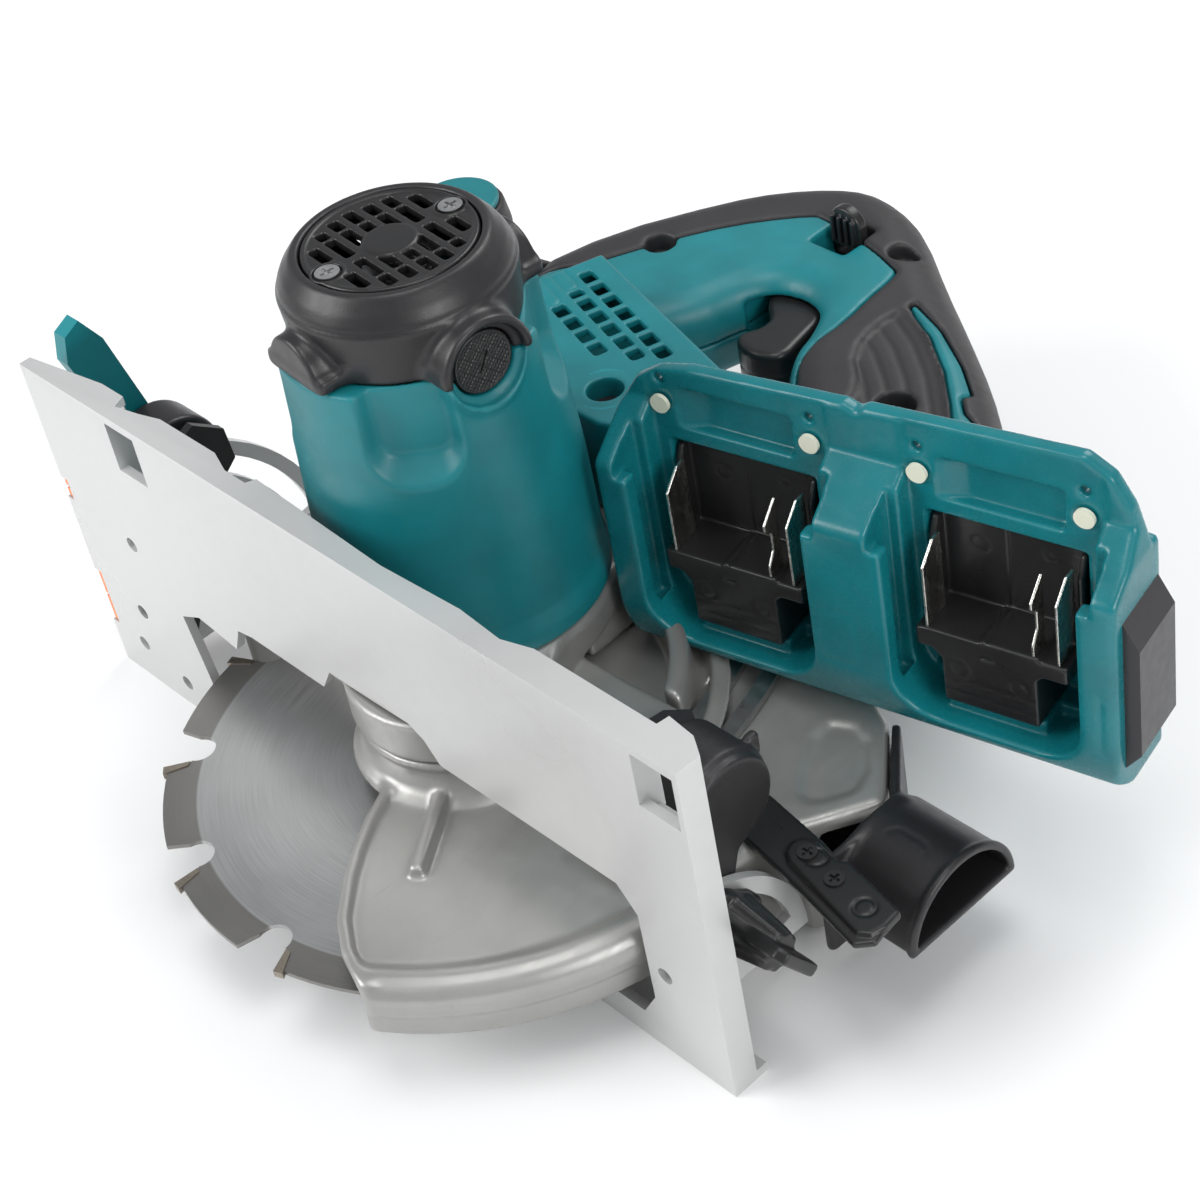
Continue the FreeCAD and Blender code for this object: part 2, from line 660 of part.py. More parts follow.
def nozzle_parts():
    flange = plate_x([(47, -20), (94, -20), (94, 14.5), (47, 14.5)], 119.7, 121.7)
    outlet = fused([half_round(0, 119.8, 150), flange])
    save("dust_nozzle", less(outlet, [half_round(2.0, 100, 160)]))
    arm = plate([(95, 57.5), (98.5, 42), (150, 32), (152, 38), (150, 45), (118, 53)], 15.1, 17.6)
    save("nozzle_arm", less(arm, [cyl(1.6, 14, 19, spot) for spot in nozzle_screw_spots()]))
    screws = [screw(1.5, 2.8, 19.0, 1.4, 4.0, spot) for spot in nozzle_screw_spots()]
    save("nozzle_screws", Part.makeCompound(screws))


def nozzle_screw_spots():
    return [(118.0, 47.0), (130.0, 44.5)]


# ---------------------------------------------------------------- tilting brackets and depth guide

depth_axis = (pivot_x, pivot_y)


def hood(x0, x1):
    return cyl_x(16.0, x0, x1, clamp_y, clamp_z)


def bracket_plate(x0, x1):
    """Upright plate that joins the tilt pin low on the blade side to the clamp hood on the motor side."""
    points = [(3.7, -14), (4.5, -17), (7, -19), (13, -19), (26, 8), (32, 26), (47, 38), (46, 50), (36, 57.5),
              (18, 50), (4.5, 20)]
    return plate_x(points, x0, x1)


def front_bracket():
    body = [bracket_plate(-131.4, -128.4)]
    for z0 in (16.6, 33.4):
        ear = plate([(-129, 15), (-112, 15), (-112, 37), (-129, 37)], z0, z0 + 4.0)
        body.append(fused([ear, cyl(11.0, z0, z0 + 4.0, depth_axis)]))
    cuts = [cyl_x(3.0, -160, -120, clamp_y, clamp_z), cyl(4.0, 10, 45, depth_axis),
            cyl_x(3.0, -140, -120, bevel_y, bevel_z)]
    return less(fused(body), cuts)


def rear_bracket():
    body = fused([bracket_plate(106.4, 109.0), hood(88, 106.4)])
    cuts = [cyl_x(2.5, 104, 110, wing_y, wing_z), cyl_x(3.0, 100, 112, bevel_y, bevel_z),
            cyl_x(13.5, 90.5, 104, clamp_y, clamp_z)]
    return less(body, cuts)


wing_y = 19.0
wing_z = 16.0


def depth_guide():
    """Curved steel arm about the front pivot with a long slot for the clamp bolt."""
    inner = guide_radius - guide_width / 2
    outer = guide_radius + guide_width / 2
    arm = sector(outer, inner, -4, 44, 15.8, 18.2, depth_axis)
    foot = plate([(60, 14), (106.4, 16), (106.4, 30), (72, 34)], 15.8, 18.2)
    slot = sector(guide_radius + 3.2, guide_radius - 3.2, 6, 41, 10, 20, depth_axis)
    return less(fused([arm, foot]), [slot])


def cradle_parts():
    save("front_bracket", front_bracket())
    save("clamp_hood", less(hood(-151.5, -135.2), [cyl_x(3.0 + fit_gap, -160, -120, clamp_y, clamp_z)]))
    pins = [cyl_x(3.0, -136.5, -128.4, bevel_y, bevel_z), cyl_x(3.0, 106.4, 114.5, bevel_y, bevel_z)]
    save("tilt_pins", Part.makeCompound(pins))
    save("rear_bracket", rear_bracket())
    save("depth_guide", depth_guide())
    save("pivot_pin", fused([cyl(4.0, 15.4, 38.4, depth_axis), cyl(6.5, 37.4, 40.0, depth_axis)]))
    save("clamp_bolt", cyl_x(3.0, -157.5, -126.0, clamp_y, clamp_z))
    hub = cyl_x(7.0, -158.5, -152.0, clamp_y, clamp_z)
    arm = plate_x([(26, 44), (14, 84), (16, 93), (22, 96), (28, 86), (38, 46)], -158.5, -152.5)
    save("bevel_lever", less(fused([hub, arm]), [cyl_x(3.0 + fit_gap, -160, -150, clamp_y, clamp_z)]))
    bolt = fused([cyl(3.0, 15.0, 31.0, clamp_spot), cyl(5.5, 12.9, 15.0, clamp_spot)])
    lever = plate([(60, 53), (59, 46), (74, 26), (81, 28), (73, 54), (66, 58)], 27.4, 32.0)
    save("depth_lever", fused([bolt, lever]))


# ---------------------------------------------------------------- base

def wing_screw():
    """Wing screw at the back: coned body, two wings, stud through the rear quadrant."""
    body = Part.makeCone(8.5, 5.5, 22.0, V(118.2, wing_y, wing_z), X_AXIS)
    wings = box(131, 147, wing_y - 1.8, wing_y + 1.8, wing_z - 12, wing_z + 12)
    collar = cyl_x(7.0, 113.0, 118.2, wing_y, wing_z)
    return fused([body, wings, collar, cyl_x(2.5 - fit_gap, 106.5, 119, wing_y, wing_z)])


def arc_x(outer, inner, start, end, x0, x1):
    """Ring sector about the tilt axis; angles run from +Y towards +Z."""
    points = []
    steps = 14
    for radius, order in ((outer, range(steps + 1)), (inner, range(steps, -1, -1))):
        for step in order:
            angle = math.radians(start + (end - start) * step / steps)
            points.append((bevel_y + radius * math.cos(angle), bevel_z + radius * math.sin(angle)))
    return plate_x(points, x0, x1)


def quadrants():
    """Front and rear plates on the base, each with a slot about the tilt axis and a tilt pin hole."""
    clamp_radius = math.hypot(clamp_y - bevel_y, clamp_z - bevel_z)
    wing_radius = math.hypot(wing_y - bevel_y, wing_z - bevel_z)
    front = [arc_x(clamp_radius + 8, clamp_radius - 8, 8, 86, -134.8, -131.8),
             plate_x([(3, -21), (3, 58), (14, 56), (12, 30), (16, -4), (62, -9), (70, -5), (64, -20)],
                     -134.8, -131.8)]
    front_cuts = [arc_x(clamp_radius + 3.3, clamp_radius - 3.3, 12, 71, -136, -130),
                  cyl_x(3.0 + fit_gap, -136, -130, bevel_y, bevel_z)]
    rear = [arc_x(wing_radius + 8, 1.0, 0, 82, 109.4, 112.4),
            plate_x([(3, -21), (3, 26), (14, 22), (15, -21)], 109.4, 112.4)]
    rear_cuts = [arc_x(wing_radius + 2.9, wing_radius - 2.9, 12, 76, 109, 113),
                 cyl_x(3.0 + fit_gap, 109, 113, bevel_y, bevel_z)]
    return [less(fused(front), front_cuts), less(fused(rear), rear_cuts)]


blade_slot = [(-101.9, 18), (-91.3, 23), (-72.8, 20.3), (-68.3, 30.1), (-60.7, 31.6), (-26, 31.6),
              (-20.5, 40.2), (-2.5, 40.6), (15, 41.3), (21, 38.2), (26, 31.6), (96.6, 32.4), (103, 24.5),
              (103, -8), (97, -18), (-97, -18), (-97, -9)]
base_holes = [(-120.3, 37.6), (-129.8, 4.8), (-136.8, -12.4), (-115.2, -17.9), (109.4, 5.3)]
window_starts = (-110.0, 113.5)
window_length = 14.5


def base_plate():
    """Cast sole: sheet with low walls round its edge, ribs beside the blade slot and two fence windows."""
    sheet = box(base_front, base_rear, 0, base_sheet, base_right, base_left)
    edge = [(base_front, 0), (base_front, 4), (-123, base_wall), (-112, base_wall), (-110, 5), (-101, 7),
            (-93, base_wall), (-66, base_wall), (-57, 6.2), (-47.5, 6.2), (-46, 9.2), (12, 6.5), (43, 7.9),
            (60, 6.5), (70, base_wall), (114, base_wall), (114.5, 13.2), (124, 12), (base_rear, 8.3),
            (base_rear, 0)]
    side = plate(edge, base_left - 3, base_left)
    back = box(base_rear - 3, base_rear, 0, 8.3, base_right, base_left)
    front = box(base_front, base_front + 2.5, 0, 4, base_right, base_left)
    right = box(base_front, base_rear, 0, 4, base_right, base_right + 2.5)
    ribs = [box(-100, 100, 0, 6.5, 44, 46.5), box(-100, 126, 0, 6.5, 66, 68)]
    for start in window_starts:
        ribs.append(box(start - 2, start, 0, 8, 66, 90))
    for x in (-70, -20, 40, 80):
        ribs.append(box(x, x + 2, 0, 6.0, 46, 90))
    ear = box(116, base_rear, 0, 12, base_right, base_right + 3)
    cuts = [plate_y(blade_slot, -1, 12)]
    for start in window_starts:
        cuts.append(box(start, start + window_length, -1, 6.2, 72, 89.5))
    for x, z in base_holes:
        cuts.append(cyl_y(2.6, -1, 8, x, z))
    for z0, z1 in ((-11, 11), (41, 49)):
        cuts.append(box(base_front - 1, base_front + 3.5, -1, 6, z0, z1))
    return less(fused([sheet, side, back, front, right, ear] + ribs), cuts)


def sight_guides():
    """Orange cutting line sights in the two notches of the front edge."""
    guides = []
    for z0, z1 in ((-10.7, 10.7), (41.3, 48.7)):
        tongue = box(base_front + 0.6, base_front + 3.3, 0.6, 5.0, z0, z1)
        foot = box(base_front + 0.6, base_front + 12, 3.0, 5.0, z0, z1)
        notch = box(base_front, base_front + 2.2, 0, 6, (z0 + z1) / 2 - 0.6, (z0 + z1) / 2 + 0.6)
        guides.append(fused([tongue, foot]).cut(notch))
    return Part.makeCompound(guides)


def base_parts():
    save("base_plate", base_plate())
    save("bevel_quadrants", Part.makeCompound(quadrants()))
    save("sight_guides", sight_guides())
    save("wing_screw", wing_screw())


os.makedirs("parts", exist_ok=True)
spindle_parts()
armature_parts()
motor_parts()
head_parts()
guard_parts()
handle_parts()
control_parts()
nozzle_parts()
cradle_parts()
base_parts()
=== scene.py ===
import json
import math
import bpy
import numpy as np
from mathutils import Matrix, Vector


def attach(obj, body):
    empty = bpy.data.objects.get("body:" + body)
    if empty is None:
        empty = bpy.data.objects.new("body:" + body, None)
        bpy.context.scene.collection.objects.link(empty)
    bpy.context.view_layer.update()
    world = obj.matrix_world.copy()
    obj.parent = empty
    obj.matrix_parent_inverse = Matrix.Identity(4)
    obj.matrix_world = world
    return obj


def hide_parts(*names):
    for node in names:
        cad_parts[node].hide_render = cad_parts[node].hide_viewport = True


# A circular saw on its blade side. Shapes are drawn in the saw's own millimetres: x to the rear, y from the
# sole up to the handle, z from the blade up to the motor, with the arbor at x = 0 and the sole at y = 0.
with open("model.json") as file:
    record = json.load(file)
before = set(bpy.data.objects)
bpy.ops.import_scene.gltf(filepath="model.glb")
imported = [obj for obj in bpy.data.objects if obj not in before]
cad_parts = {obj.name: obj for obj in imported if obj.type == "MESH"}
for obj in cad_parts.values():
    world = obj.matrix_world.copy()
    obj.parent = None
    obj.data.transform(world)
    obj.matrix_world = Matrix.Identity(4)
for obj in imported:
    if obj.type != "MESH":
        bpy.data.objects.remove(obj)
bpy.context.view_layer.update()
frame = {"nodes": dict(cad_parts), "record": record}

SAW_ORIGIN = np.array([8.0, 98.3, -28.4])
ARBOR = (0.0, 28.0)
MOTOR = (-18.5, 53.0)
MOTOR_ROOM = 42.3
PIVOT = (-112.0, 26.0)
GUIDE_RADIUS = 180.0


def place(points):
    """Saw millimetres to metres in the row frame."""
    return (np.asarray(points, float) - SAW_ORIGIN) / 1000.0


def turned(g, centre, degrees):
    """Two flat coordinates about a centre, turned so that the first points to that side."""
    a = math.radians(degrees)
    dx, dy = g.x - centre[0], g.y - centre[1]
    return dx * math.cos(a) + dy * math.sin(a), dy * math.cos(a) - dx * math.sin(a)


def turned_back(points, centre, degrees, lift=0.0):
    """Points in turned coordinates, put back in the saw's own."""
    a = math.radians(degrees)
    u, v = points[:, 0], points[:, 1]
    x = centre[0] + u * math.cos(a) - v * math.sin(a)
    y = centre[1] + u * math.sin(a) + v * math.cos(a)
    return np.stack([x, y, lift + points[:, 2]], 1)


# ---------------- distance fields

class Room:
    """A box of sample points. Shapes in it are distance fields: negative inside, in millimetres."""

    def __init__(self, low, high, step):
        self.low, self.step = np.array(low, float), step
        counts = [int(math.ceil((b - a) / step)) + 1 for a, b in zip(low, high)]
        line = [(a + step * np.arange(n)).astype(np.float32) for a, n in zip(low, counts)]
        self.x = line[0][:, None, None]
        self.y = line[1][None, :, None]
        self.z = line[2][None, None, :]
        self.shape = tuple(counts)


def outline(points, u, v):
    """Distance to a closed polygon in the plane of u and v."""
    nearest, inside = None, None
    for (u0, v0), (u1, v1) in zip(points, points[1:] + points[:1]):
        du, dv = u1 - u0, v1 - v0
        t = np.clip(((u - u0) * du + (v - v0) * dv) / (du * du + dv * dv), 0, 1)
        square = (u - u0 - t * du) ** 2 + (v - v0 - t * dv) ** 2
        nearest = square if nearest is None else np.minimum(nearest, square)
        cross = ((v0 <= v) != (v1 <= v)) & (u < u0 + (v - v0) * du / (dv if dv else 1e-9))
        inside = cross if inside is None else inside ^ cross
    return (np.where(inside, -1, 1) * np.sqrt(nearest)).astype(np.float32)


def smooth(points, rounds=2):
    """Cuts the corners of a closed polygon, which rounds them."""
    for _ in range(rounds):
        nearer = []
        for (u0, v0), (u1, v1) in zip(points, points[1:] + points[:1]):
            nearer.append((0.75 * u0 + 0.25 * u1, 0.75 * v0 + 0.25 * v1))
            nearer.append((0.25 * u0 + 0.75 * u1, 0.25 * v0 + 0.75 * v1))
        points = nearer
    return points


def slab(flat, w, low, high, edge=0.0):
    """Extrudes a flat shape along w, with its rims rounded by edge."""
    side = flat + edge
    end = np.abs(w - (low + high) / 2) - (high - low) / 2 + edge
    out = np.sqrt(np.maximum(side, 0) ** 2 + np.maximum(end, 0) ** 2)
    return np.minimum(np.maximum(side, end), 0) + out - edge


def disc(u, v, centre, radius):
    return np.sqrt((u - centre[0]) ** 2 + (v - centre[1]) ** 2) - radius


def rounded(u, v, u0, u1, v0, v1, corner):
    """Distance to a rectangle with round corners."""
    du = np.abs(u - (u0 + u1) / 2) - (u1 - u0) / 2 + corner
    dv = np.abs(v - (v0 + v1) / 2) - (v1 - v0) / 2 + corner
    return np.minimum(np.maximum(du, dv), 0) + np.hypot(np.maximum(du, 0), np.maximum(dv, 0)) - corner


def block(g, x0, x1, y0, y1, z0, z1, edge=0.0):
    dx = np.abs(g.x - (x0 + x1) / 2) - (x1 - x0) / 2 + edge
    dy = np.abs(g.y - (y0 + y1) / 2) - (y1 - y0) / 2 + edge
    dz = np.abs(g.z - (z0 + z1) / 2) - (z1 - z0) / 2 + edge
    out = np.sqrt(np.maximum(dx, 0) ** 2 + np.maximum(dy, 0) ** 2 + np.maximum(dz, 0) ** 2)
    return np.minimum(np.maximum(np.maximum(dx, dy), dz), 0) + out - edge


def join(a, b, blend=0.0):
    if not blend:
        return np.minimum(a, b)
    h = np.maximum(blend - np.abs(a - b), 0) / blend
    return np.minimum(a, b) - h * h * blend / 4


def both(a, b, blend=0.0):
    return -join(-a, -b, blend)


def cut(a, b, blend=0.0):
    return -join(-a, b, blend)


def soften(field):
    """Rounds every edge a little."""
    for axis in range(3):
        f = np.moveaxis(field, axis, 0)
        mixed = f.copy()
        mixed[1:-1] = 0.25 * f[:-2] + 0.5 * f[1:-1] + 0.25 * f[2:]
        field = np.moveaxis(mixed, 0, axis)
    return field


def skin(field, g):
    """Points and four-sided faces of the surface where the field is zero (surface nets)."""
    field = np.broadcast_to(field, g.shape)
    inside = field < 0
    size = np.array(g.shape)
    ids, where, quads = [], [], []
    for axis in range(3):
        low, high = [slice(None)] * 3, [slice(None)] * 3
        low[axis], high[axis] = slice(0, -1), slice(1, None)
        at = np.argwhere(inside[tuple(low)] != inside[tuple(high)])
        others = [i for i in range(3) if i != axis]
        keep = np.all([(at[:, o] >= 1) & (at[:, o] <= size[o] - 2) for o in others], axis=0)
        at = at[keep]
        step = np.zeros(3, int)
        step[axis] = 1
        first = field[tuple(at.T)]
        second = field[tuple((at + step).T)]
        point = at.astype(float)
        point[:, axis] += first / (first - second)
        ring = []
        for du, dv in ((-1, -1), (0, -1), (0, 0), (-1, 0)):
            cell = at.copy()
            cell[:, others[0]] += du
            cell[:, others[1]] += dv
            name = np.ravel_multi_index(tuple(cell.T), g.shape)
            ids.append(name)
            where.append(point)
            ring.append(name)
        ring = np.stack(ring, 1)
        flip = (first >= 0) if axis != 1 else (first < 0)
        ring[flip] = ring[flip][:, ::-1]
        quads.append(ring)
    names, back = np.unique(np.concatenate(ids), return_inverse=True)
    where = np.concatenate(where)
    count = np.bincount(back, minlength=len(names))
    points = np.stack([np.bincount(back, where[:, i], len(names)) / count for i in range(3)], 1)
    faces = np.searchsorted(names, np.concatenate(quads))
    return g.low + g.step * points, faces


# ---------------- pieces

def mesh_object(name, points, faces, material):
    mesh = bpy.data.meshes.new(name)
    mesh.from_pydata(place(points).tolist(), [], faces.tolist())
    mesh.update()
    mesh.shade_smooth()
    mesh.materials.append(material)
    piece = bpy.data.objects.new(name, mesh)
    bpy.context.scene.collection.objects.link(piece)
    return piece


def stand_in(piece, node, body="saw_body"):
    """Puts a piece on its body in place of the CAD node."""
    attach(piece, body)
    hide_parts(node)


def moulded(name, g, field, material, node, body="saw_body"):
    """Makes a piece from a distance field, with its edges softened."""
    points, faces = skin(soften(field), g)
    stand_in(mesh_object(name, points, faces, material), node, body)


# ---------------- materials

class Nodes:
    """Short hand for a node tree."""

    def __init__(self, name):
        self.material = bpy.data.materials.new(name)
        self.material.use_nodes = True
        self.tree = self.material.node_tree
        self.shader = self.tree.nodes["Principled BSDF"]
        self.place = self.tree.nodes.new("ShaderNodeTexCoord").outputs["Object"]

    def link(self, a, b):
        self.tree.links.new(a, b)

    def noise(self, scale, detail=3.0, rough=0.5, stretch=None, vector=None):
        node = self.tree.nodes.new("ShaderNodeTexNoise")
        node.inputs["Scale"].default_value = scale
        node.inputs["Detail"].default_value = detail
        node.inputs["Roughness"].default_value = rough
        if vector is None:
            vector = self.place
        if stretch is not None:
            mapping = self.tree.nodes.new("ShaderNodeMapping")
            mapping.inputs["Scale"].default_value = stretch
            self.link(vector, mapping.inputs["Vector"])
            vector = mapping.outputs["Vector"]
        self.link(vector, node.inputs["Vector"])
        return node.outputs["Fac"]

    def ramp(self, value, stops):
        node = self.tree.nodes.new("ShaderNodeValToRGB")
        for element, (position, colour) in zip(node.color_ramp.elements, stops):
            element.position = position
            element.color = (*colour, 1)
        self.link(value, node.inputs["Fac"])
        return node.outputs["Color"]

    def scaled(self, value, low, high, out_low, out_high):
        node = self.tree.nodes.new("ShaderNodeMapRange")
        for key, number in (("From Min", low), ("From Max", high), ("To Min", out_low), ("To Max", out_high)):
            node.inputs[key].default_value = number
        self.link(value, node.inputs["Value"])
        return node.outputs["Result"]

    def math(self, how, a, b=0.0):
        node = self.tree.nodes.new("ShaderNodeMath")
        node.operation = how
        for socket, value in zip(node.inputs, (a, b)):
            if isinstance(value, (int, float)):
                socket.default_value = value
            else:
                self.link(value, socket)
        return node.outputs["Value"]

    def mix(self, share, a, b):
        node = self.tree.nodes.new("ShaderNodeMix")
        node.data_type = "RGBA"
        for key, value in ((6, a), (7, b)):
            if isinstance(value, tuple):
                node.inputs[key].default_value = (*value, 1)
            else:
                self.link(value, node.inputs[key])
        self.link(share, node.inputs[0])
        return node.outputs[2]

    def edges(self):
        """1 on sharp outer edges, where a surface is rubbed."""
        node = self.tree.nodes.new("ShaderNodeNewGeometry")
        return self.scaled(node.outputs["Pointiness"], 0.52, 0.6, 0, 1)

    def bump(self, height, depth, strength=1.0, under=None):
        node = self.tree.nodes.new("ShaderNodeBump")
        node.inputs["Strength"].default_value = strength
        node.inputs["Distance"].default_value = depth
        self.link(height, node.inputs["Height"])
        if under is not None:
            self.link(under, node.inputs["Normal"])
        return node.outputs["Normal"]

    def done(self, colour, rough, normal=None, metal=0.0):
        self.link(colour, self.shader.inputs["Base Color"])
        if isinstance(rough, float):
            self.shader.inputs["Roughness"].default_value = rough
        else:
            self.link(rough, self.shader.inputs["Roughness"])
        if normal is not None:
            self.link(normal, self.shader.inputs["Normal"])
        self.shader.inputs["Metallic"].default_value = metal
        return self.material


def shade(colour, factor):
    return tuple(min(1.0, c * factor) for c in colour)


def plastic(name, colour, rough, grain_size=0.00045, grain_depth=0.00003, tone=0.12, worn=1.25):
    """Moulded plastic: fine spark-eroded grain, slight cloudiness of colour, paler rubbed edges."""
    n = Nodes(name)
    cloud = n.noise(55.0, 4.0)
    base = n.ramp(cloud, [(0.3, shade(colour, 1 - tone)), (0.7, shade(colour, 1 + tone))])
    base = n.mix(n.scaled(n.edges(), 0, 1, 0, 0.6), base, shade(colour, worn))
    grain = n.noise(1.0 / grain_size, 2.0, 0.6)
    dust = n.noise(260.0, 3.0)
    wear = n.math("ADD", n.math("MULTIPLY", grain, 0.5), dust)
    roughness = n.scaled(wear, 0.4, 1.1, rough - 0.07, rough + 0.07)
    return n.done(base, roughness, n.bump(grain, grain_depth))


def cast_paint(name, colour, rough, ripple=0.00012, flake=0.25):
    """Silver paint over a pressure casting: soft ripples, fine metallic flake, small scuffs."""
    n = Nodes(name)
    flakes = n.noise(4200.0, 1.0)
    cloud = n.noise(28.0, 4.0)
    tone = n.math("ADD", n.math("MULTIPLY", flakes, flake), n.math("MULTIPLY", cloud, 1 - flake))
    base = n.ramp(tone, [(0.3, shade(colour, 0.86)), (0.7, shade(colour, 1.1))])
    scuff = n.noise(900.0, 2.0, 0.7, (1.0, 0.05, 0.2))
    base = n.mix(n.scaled(scuff, 0.66, 0.8, 0, 0.5), base, shade(colour, 0.7))
    waves = n.noise(120.0, 3.0)
    roughness = n.scaled(n.math("ADD", waves, scuff), 0.6, 1.4, rough - 0.08, rough + 0.1)
    return n.done(base, roughness, n.bump(waves, ripple, 0.6, n.bump(flakes, 0.00001)), metal=0.55)


def satin_paint(name, colour, rough):
    """Smooth silver lacquer with broad soft patches of gloss and slightly paler rubbed edges."""
    n = Nodes(name)
    patches = n.noise(16.0, 2.0, 0.4)
    orange_peel = n.noise(180.0, 1.0)
    tone = n.math("ADD", n.math("MULTIPLY", orange_peel, 0.2), n.math("MULTIPLY", patches, 0.8))
    base = n.ramp(tone, [(0.3, shade(colour, 0.93)), (0.7, shade(colour, 1.05))])
    base = n.mix(n.scaled(n.edges(), 0, 1, 0, 0.5), base, shade(colour, 1.12))
    roughness = n.scaled(patches, 0.3, 0.7, rough - 0.04, rough + 0.06)
    return n.done(base, roughness, n.bump(orange_peel, 0.000004, 0.3), metal=0.4)


def turned_steel(name, colour, rough, centre=None, along=(1, 1, 1)):
    """Machined steel; with a centre its grinding marks run round that upright axis."""
    n = Nodes(name)
    if centre is None:
        marks = n.noise(1500.0, 3.0, 0.6, along)
    else:
        shift = n.tree.nodes.new("ShaderNodeVectorMath")
        shift.operation = "SUBTRACT"
        shift.inputs[1].default_value = place((*centre, 0)).tolist()
        n.link(n.place, shift.inputs[0])
        split = n.tree.nodes.new("ShaderNodeSeparateXYZ")
        n.link(shift.outputs["Vector"], split.inputs["Vector"])
        x, y = split.outputs["X"], split.outputs["Y"]
        radius = n.math("SQRT", n.math("ADD", n.math("MULTIPLY", x, x), n.math("MULTIPLY", y, y)))
        angle = n.math("ARCTAN2", y, x)
        joined = n.tree.nodes.new("ShaderNodeCombineXYZ")
        n.link(n.math("MULTIPLY", radius, 2600.0), joined.inputs["X"])
        n.link(n.math("MULTIPLY", angle, 3.0), joined.inputs["Y"])
        marks = n.noise(1.0, 2.0, vector=joined.outputs["Vector"])
        n.radius, n.angle = radius, angle
    cloud = n.noise(40.0, 3.0)
    tone = n.math("ADD", n.math("MULTIPLY", marks, 0.6), n.math("MULTIPLY", cloud, 0.4))
    base = n.ramp(tone, [(0.32, shade(colour, 0.78)), (0.68, shade(colour, 1.14))])
    roughness = n.scaled(tone, 0.3, 0.7, rough - 0.07, rough + 0.09)
    return n, base, roughness, marks


def steel(name, colour, rough, centre=None, along=(1, 1, 1), metal=1.0):
    n, base, roughness, marks = turned_steel(name, colour, rough, centre, along)
    return n.done(base, roughness, n.bump(marks, 0.00001, 0.7), metal=metal)


def blade_steel():
    """Ground inner disc, a duller brown-grey rim with a lapped band, marks running round the arbor, and a
    painted highlight that makes two opposite sectors paler.
    """
    n, base, roughness, marks = turned_steel("blade_steel", (0.40, 0.40, 0.405), 0.36, ARBOR)
    rim = n.scaled(n.radius, 0.0828, 0.0832, 0, 1)
    line = n.scaled(n.math("ABSOLUTE", n.math("SUBTRACT", n.radius, 0.083)), 0.0002, 0.0006, 1, 0)
    # Painted highlight: the colour is lightened in two opposite sectors round the arbor, standing in for the
    # reflection off the grinding marks.
    painted_sheen = n.scaled(n.math("SINE", n.math("MULTIPLY", n.angle, 2.0)), -1, 1, 0, 1)
    base = n.mix(n.math("MULTIPLY", painted_sheen, 0.35), base, (0.62, 0.62, 0.61))
    base = n.mix(n.math("MULTIPLY", rim, 0.75), base, (0.20, 0.19, 0.175))
    base = n.mix(n.math("MULTIPLY", line, 0.6), base, (0.5, 0.5, 0.5))
    n.shader.inputs["Anisotropic"].default_value = 0.35
    return n.done(base, roughness, n.bump(marks, 0.000012, 0.8), metal=0.9)


TEAL = (0.005, 0.175, 0.20)
BLACK = (0.019, 0.0175, 0.019)
teal = plastic("teal_plastic", TEAL, 0.40, worn=1.5)
black = plastic("black_plastic", BLACK, 0.36, worn=1.9)
black_fine = plastic("black_fine_plastic", (0.015, 0.0145, 0.015), 0.32, grain_depth=0.000012, worn=2.0)
rubber = plastic("black_rubber", (0.024, 0.022, 0.024), 0.52, 0.0007, 0.00006, worn=1.6)
smooth_teal = plastic("smooth_teal", (0.005, 0.165, 0.19), 0.26, grain_depth=0.00001, worn=1.6)
cream = plastic("cream_rubber", (0.74, 0.74, 0.60), 0.5, 0.0006, 0.00002, 0.05, 1.1)
orange = plastic("orange_plastic", (0.86, 0.20, 0.02), 0.35, 0.0006, 0.00002, 0.08, 1.2)
cast = cast_paint("cast_silver", (0.40, 0.395, 0.38), 0.38)
sole_paint = satin_paint("base_silver", (0.60, 0.60, 0.595), 0.30)
blade_finish = blade_steel()
carbide = steel("carbide", (0.34, 0.30, 0.25), 0.38)
bright = steel("machined_steel", (0.55, 0.55, 0.55), 0.32, None, (0.1, 0.1, 0.1))
dark_steel = steel("black_steel", (0.05, 0.048, 0.05), 0.42, None, (1, 1, 1), 0.6)
lamination = steel("lamination_steel", (0.3, 0.3, 0.31), 0.45, None, (0.02, 0.02, 1.0))
magnet = plastic("magnet_grey", (0.10, 0.10, 0.11), 0.55)
copper = steel("copper", (0.80, 0.38, 0.20), 0.32, None, (0.1, 0.1, 1.0))
plated = steel("contact_metal", (0.80, 0.78, 0.73), 0.26, None, (0.2, 0.2, 0.04))

FINISH = {
    "teal_plastic": teal, "black_plastic": black, "black_rubber": rubber, "cast_silver": cast,
    "base_silver": sole_paint, "blade_steel": blade_finish, "carbide": carbide, "machined_steel": bright,
    "black_steel": dark_steel, "lamination_steel": lamination, "magnet_grey": magnet, "copper": copper,
    "contact_metal": plated, "cream_rubber": cream, "orange_plastic": orange,
}
for part in frame["record"]["subparts"]:
    piece = frame["nodes"][part["node"]]
    piece.data.materials.clear()
    piece.data.materials.append(FINISH[part["material_slot"]])


# ---------------- motor

def lathe(profile, g):
    """Turns a profile about the motor's axis."""
    return outline(profile, disc(g.x, g.y, MOTOR, 0), g.z)


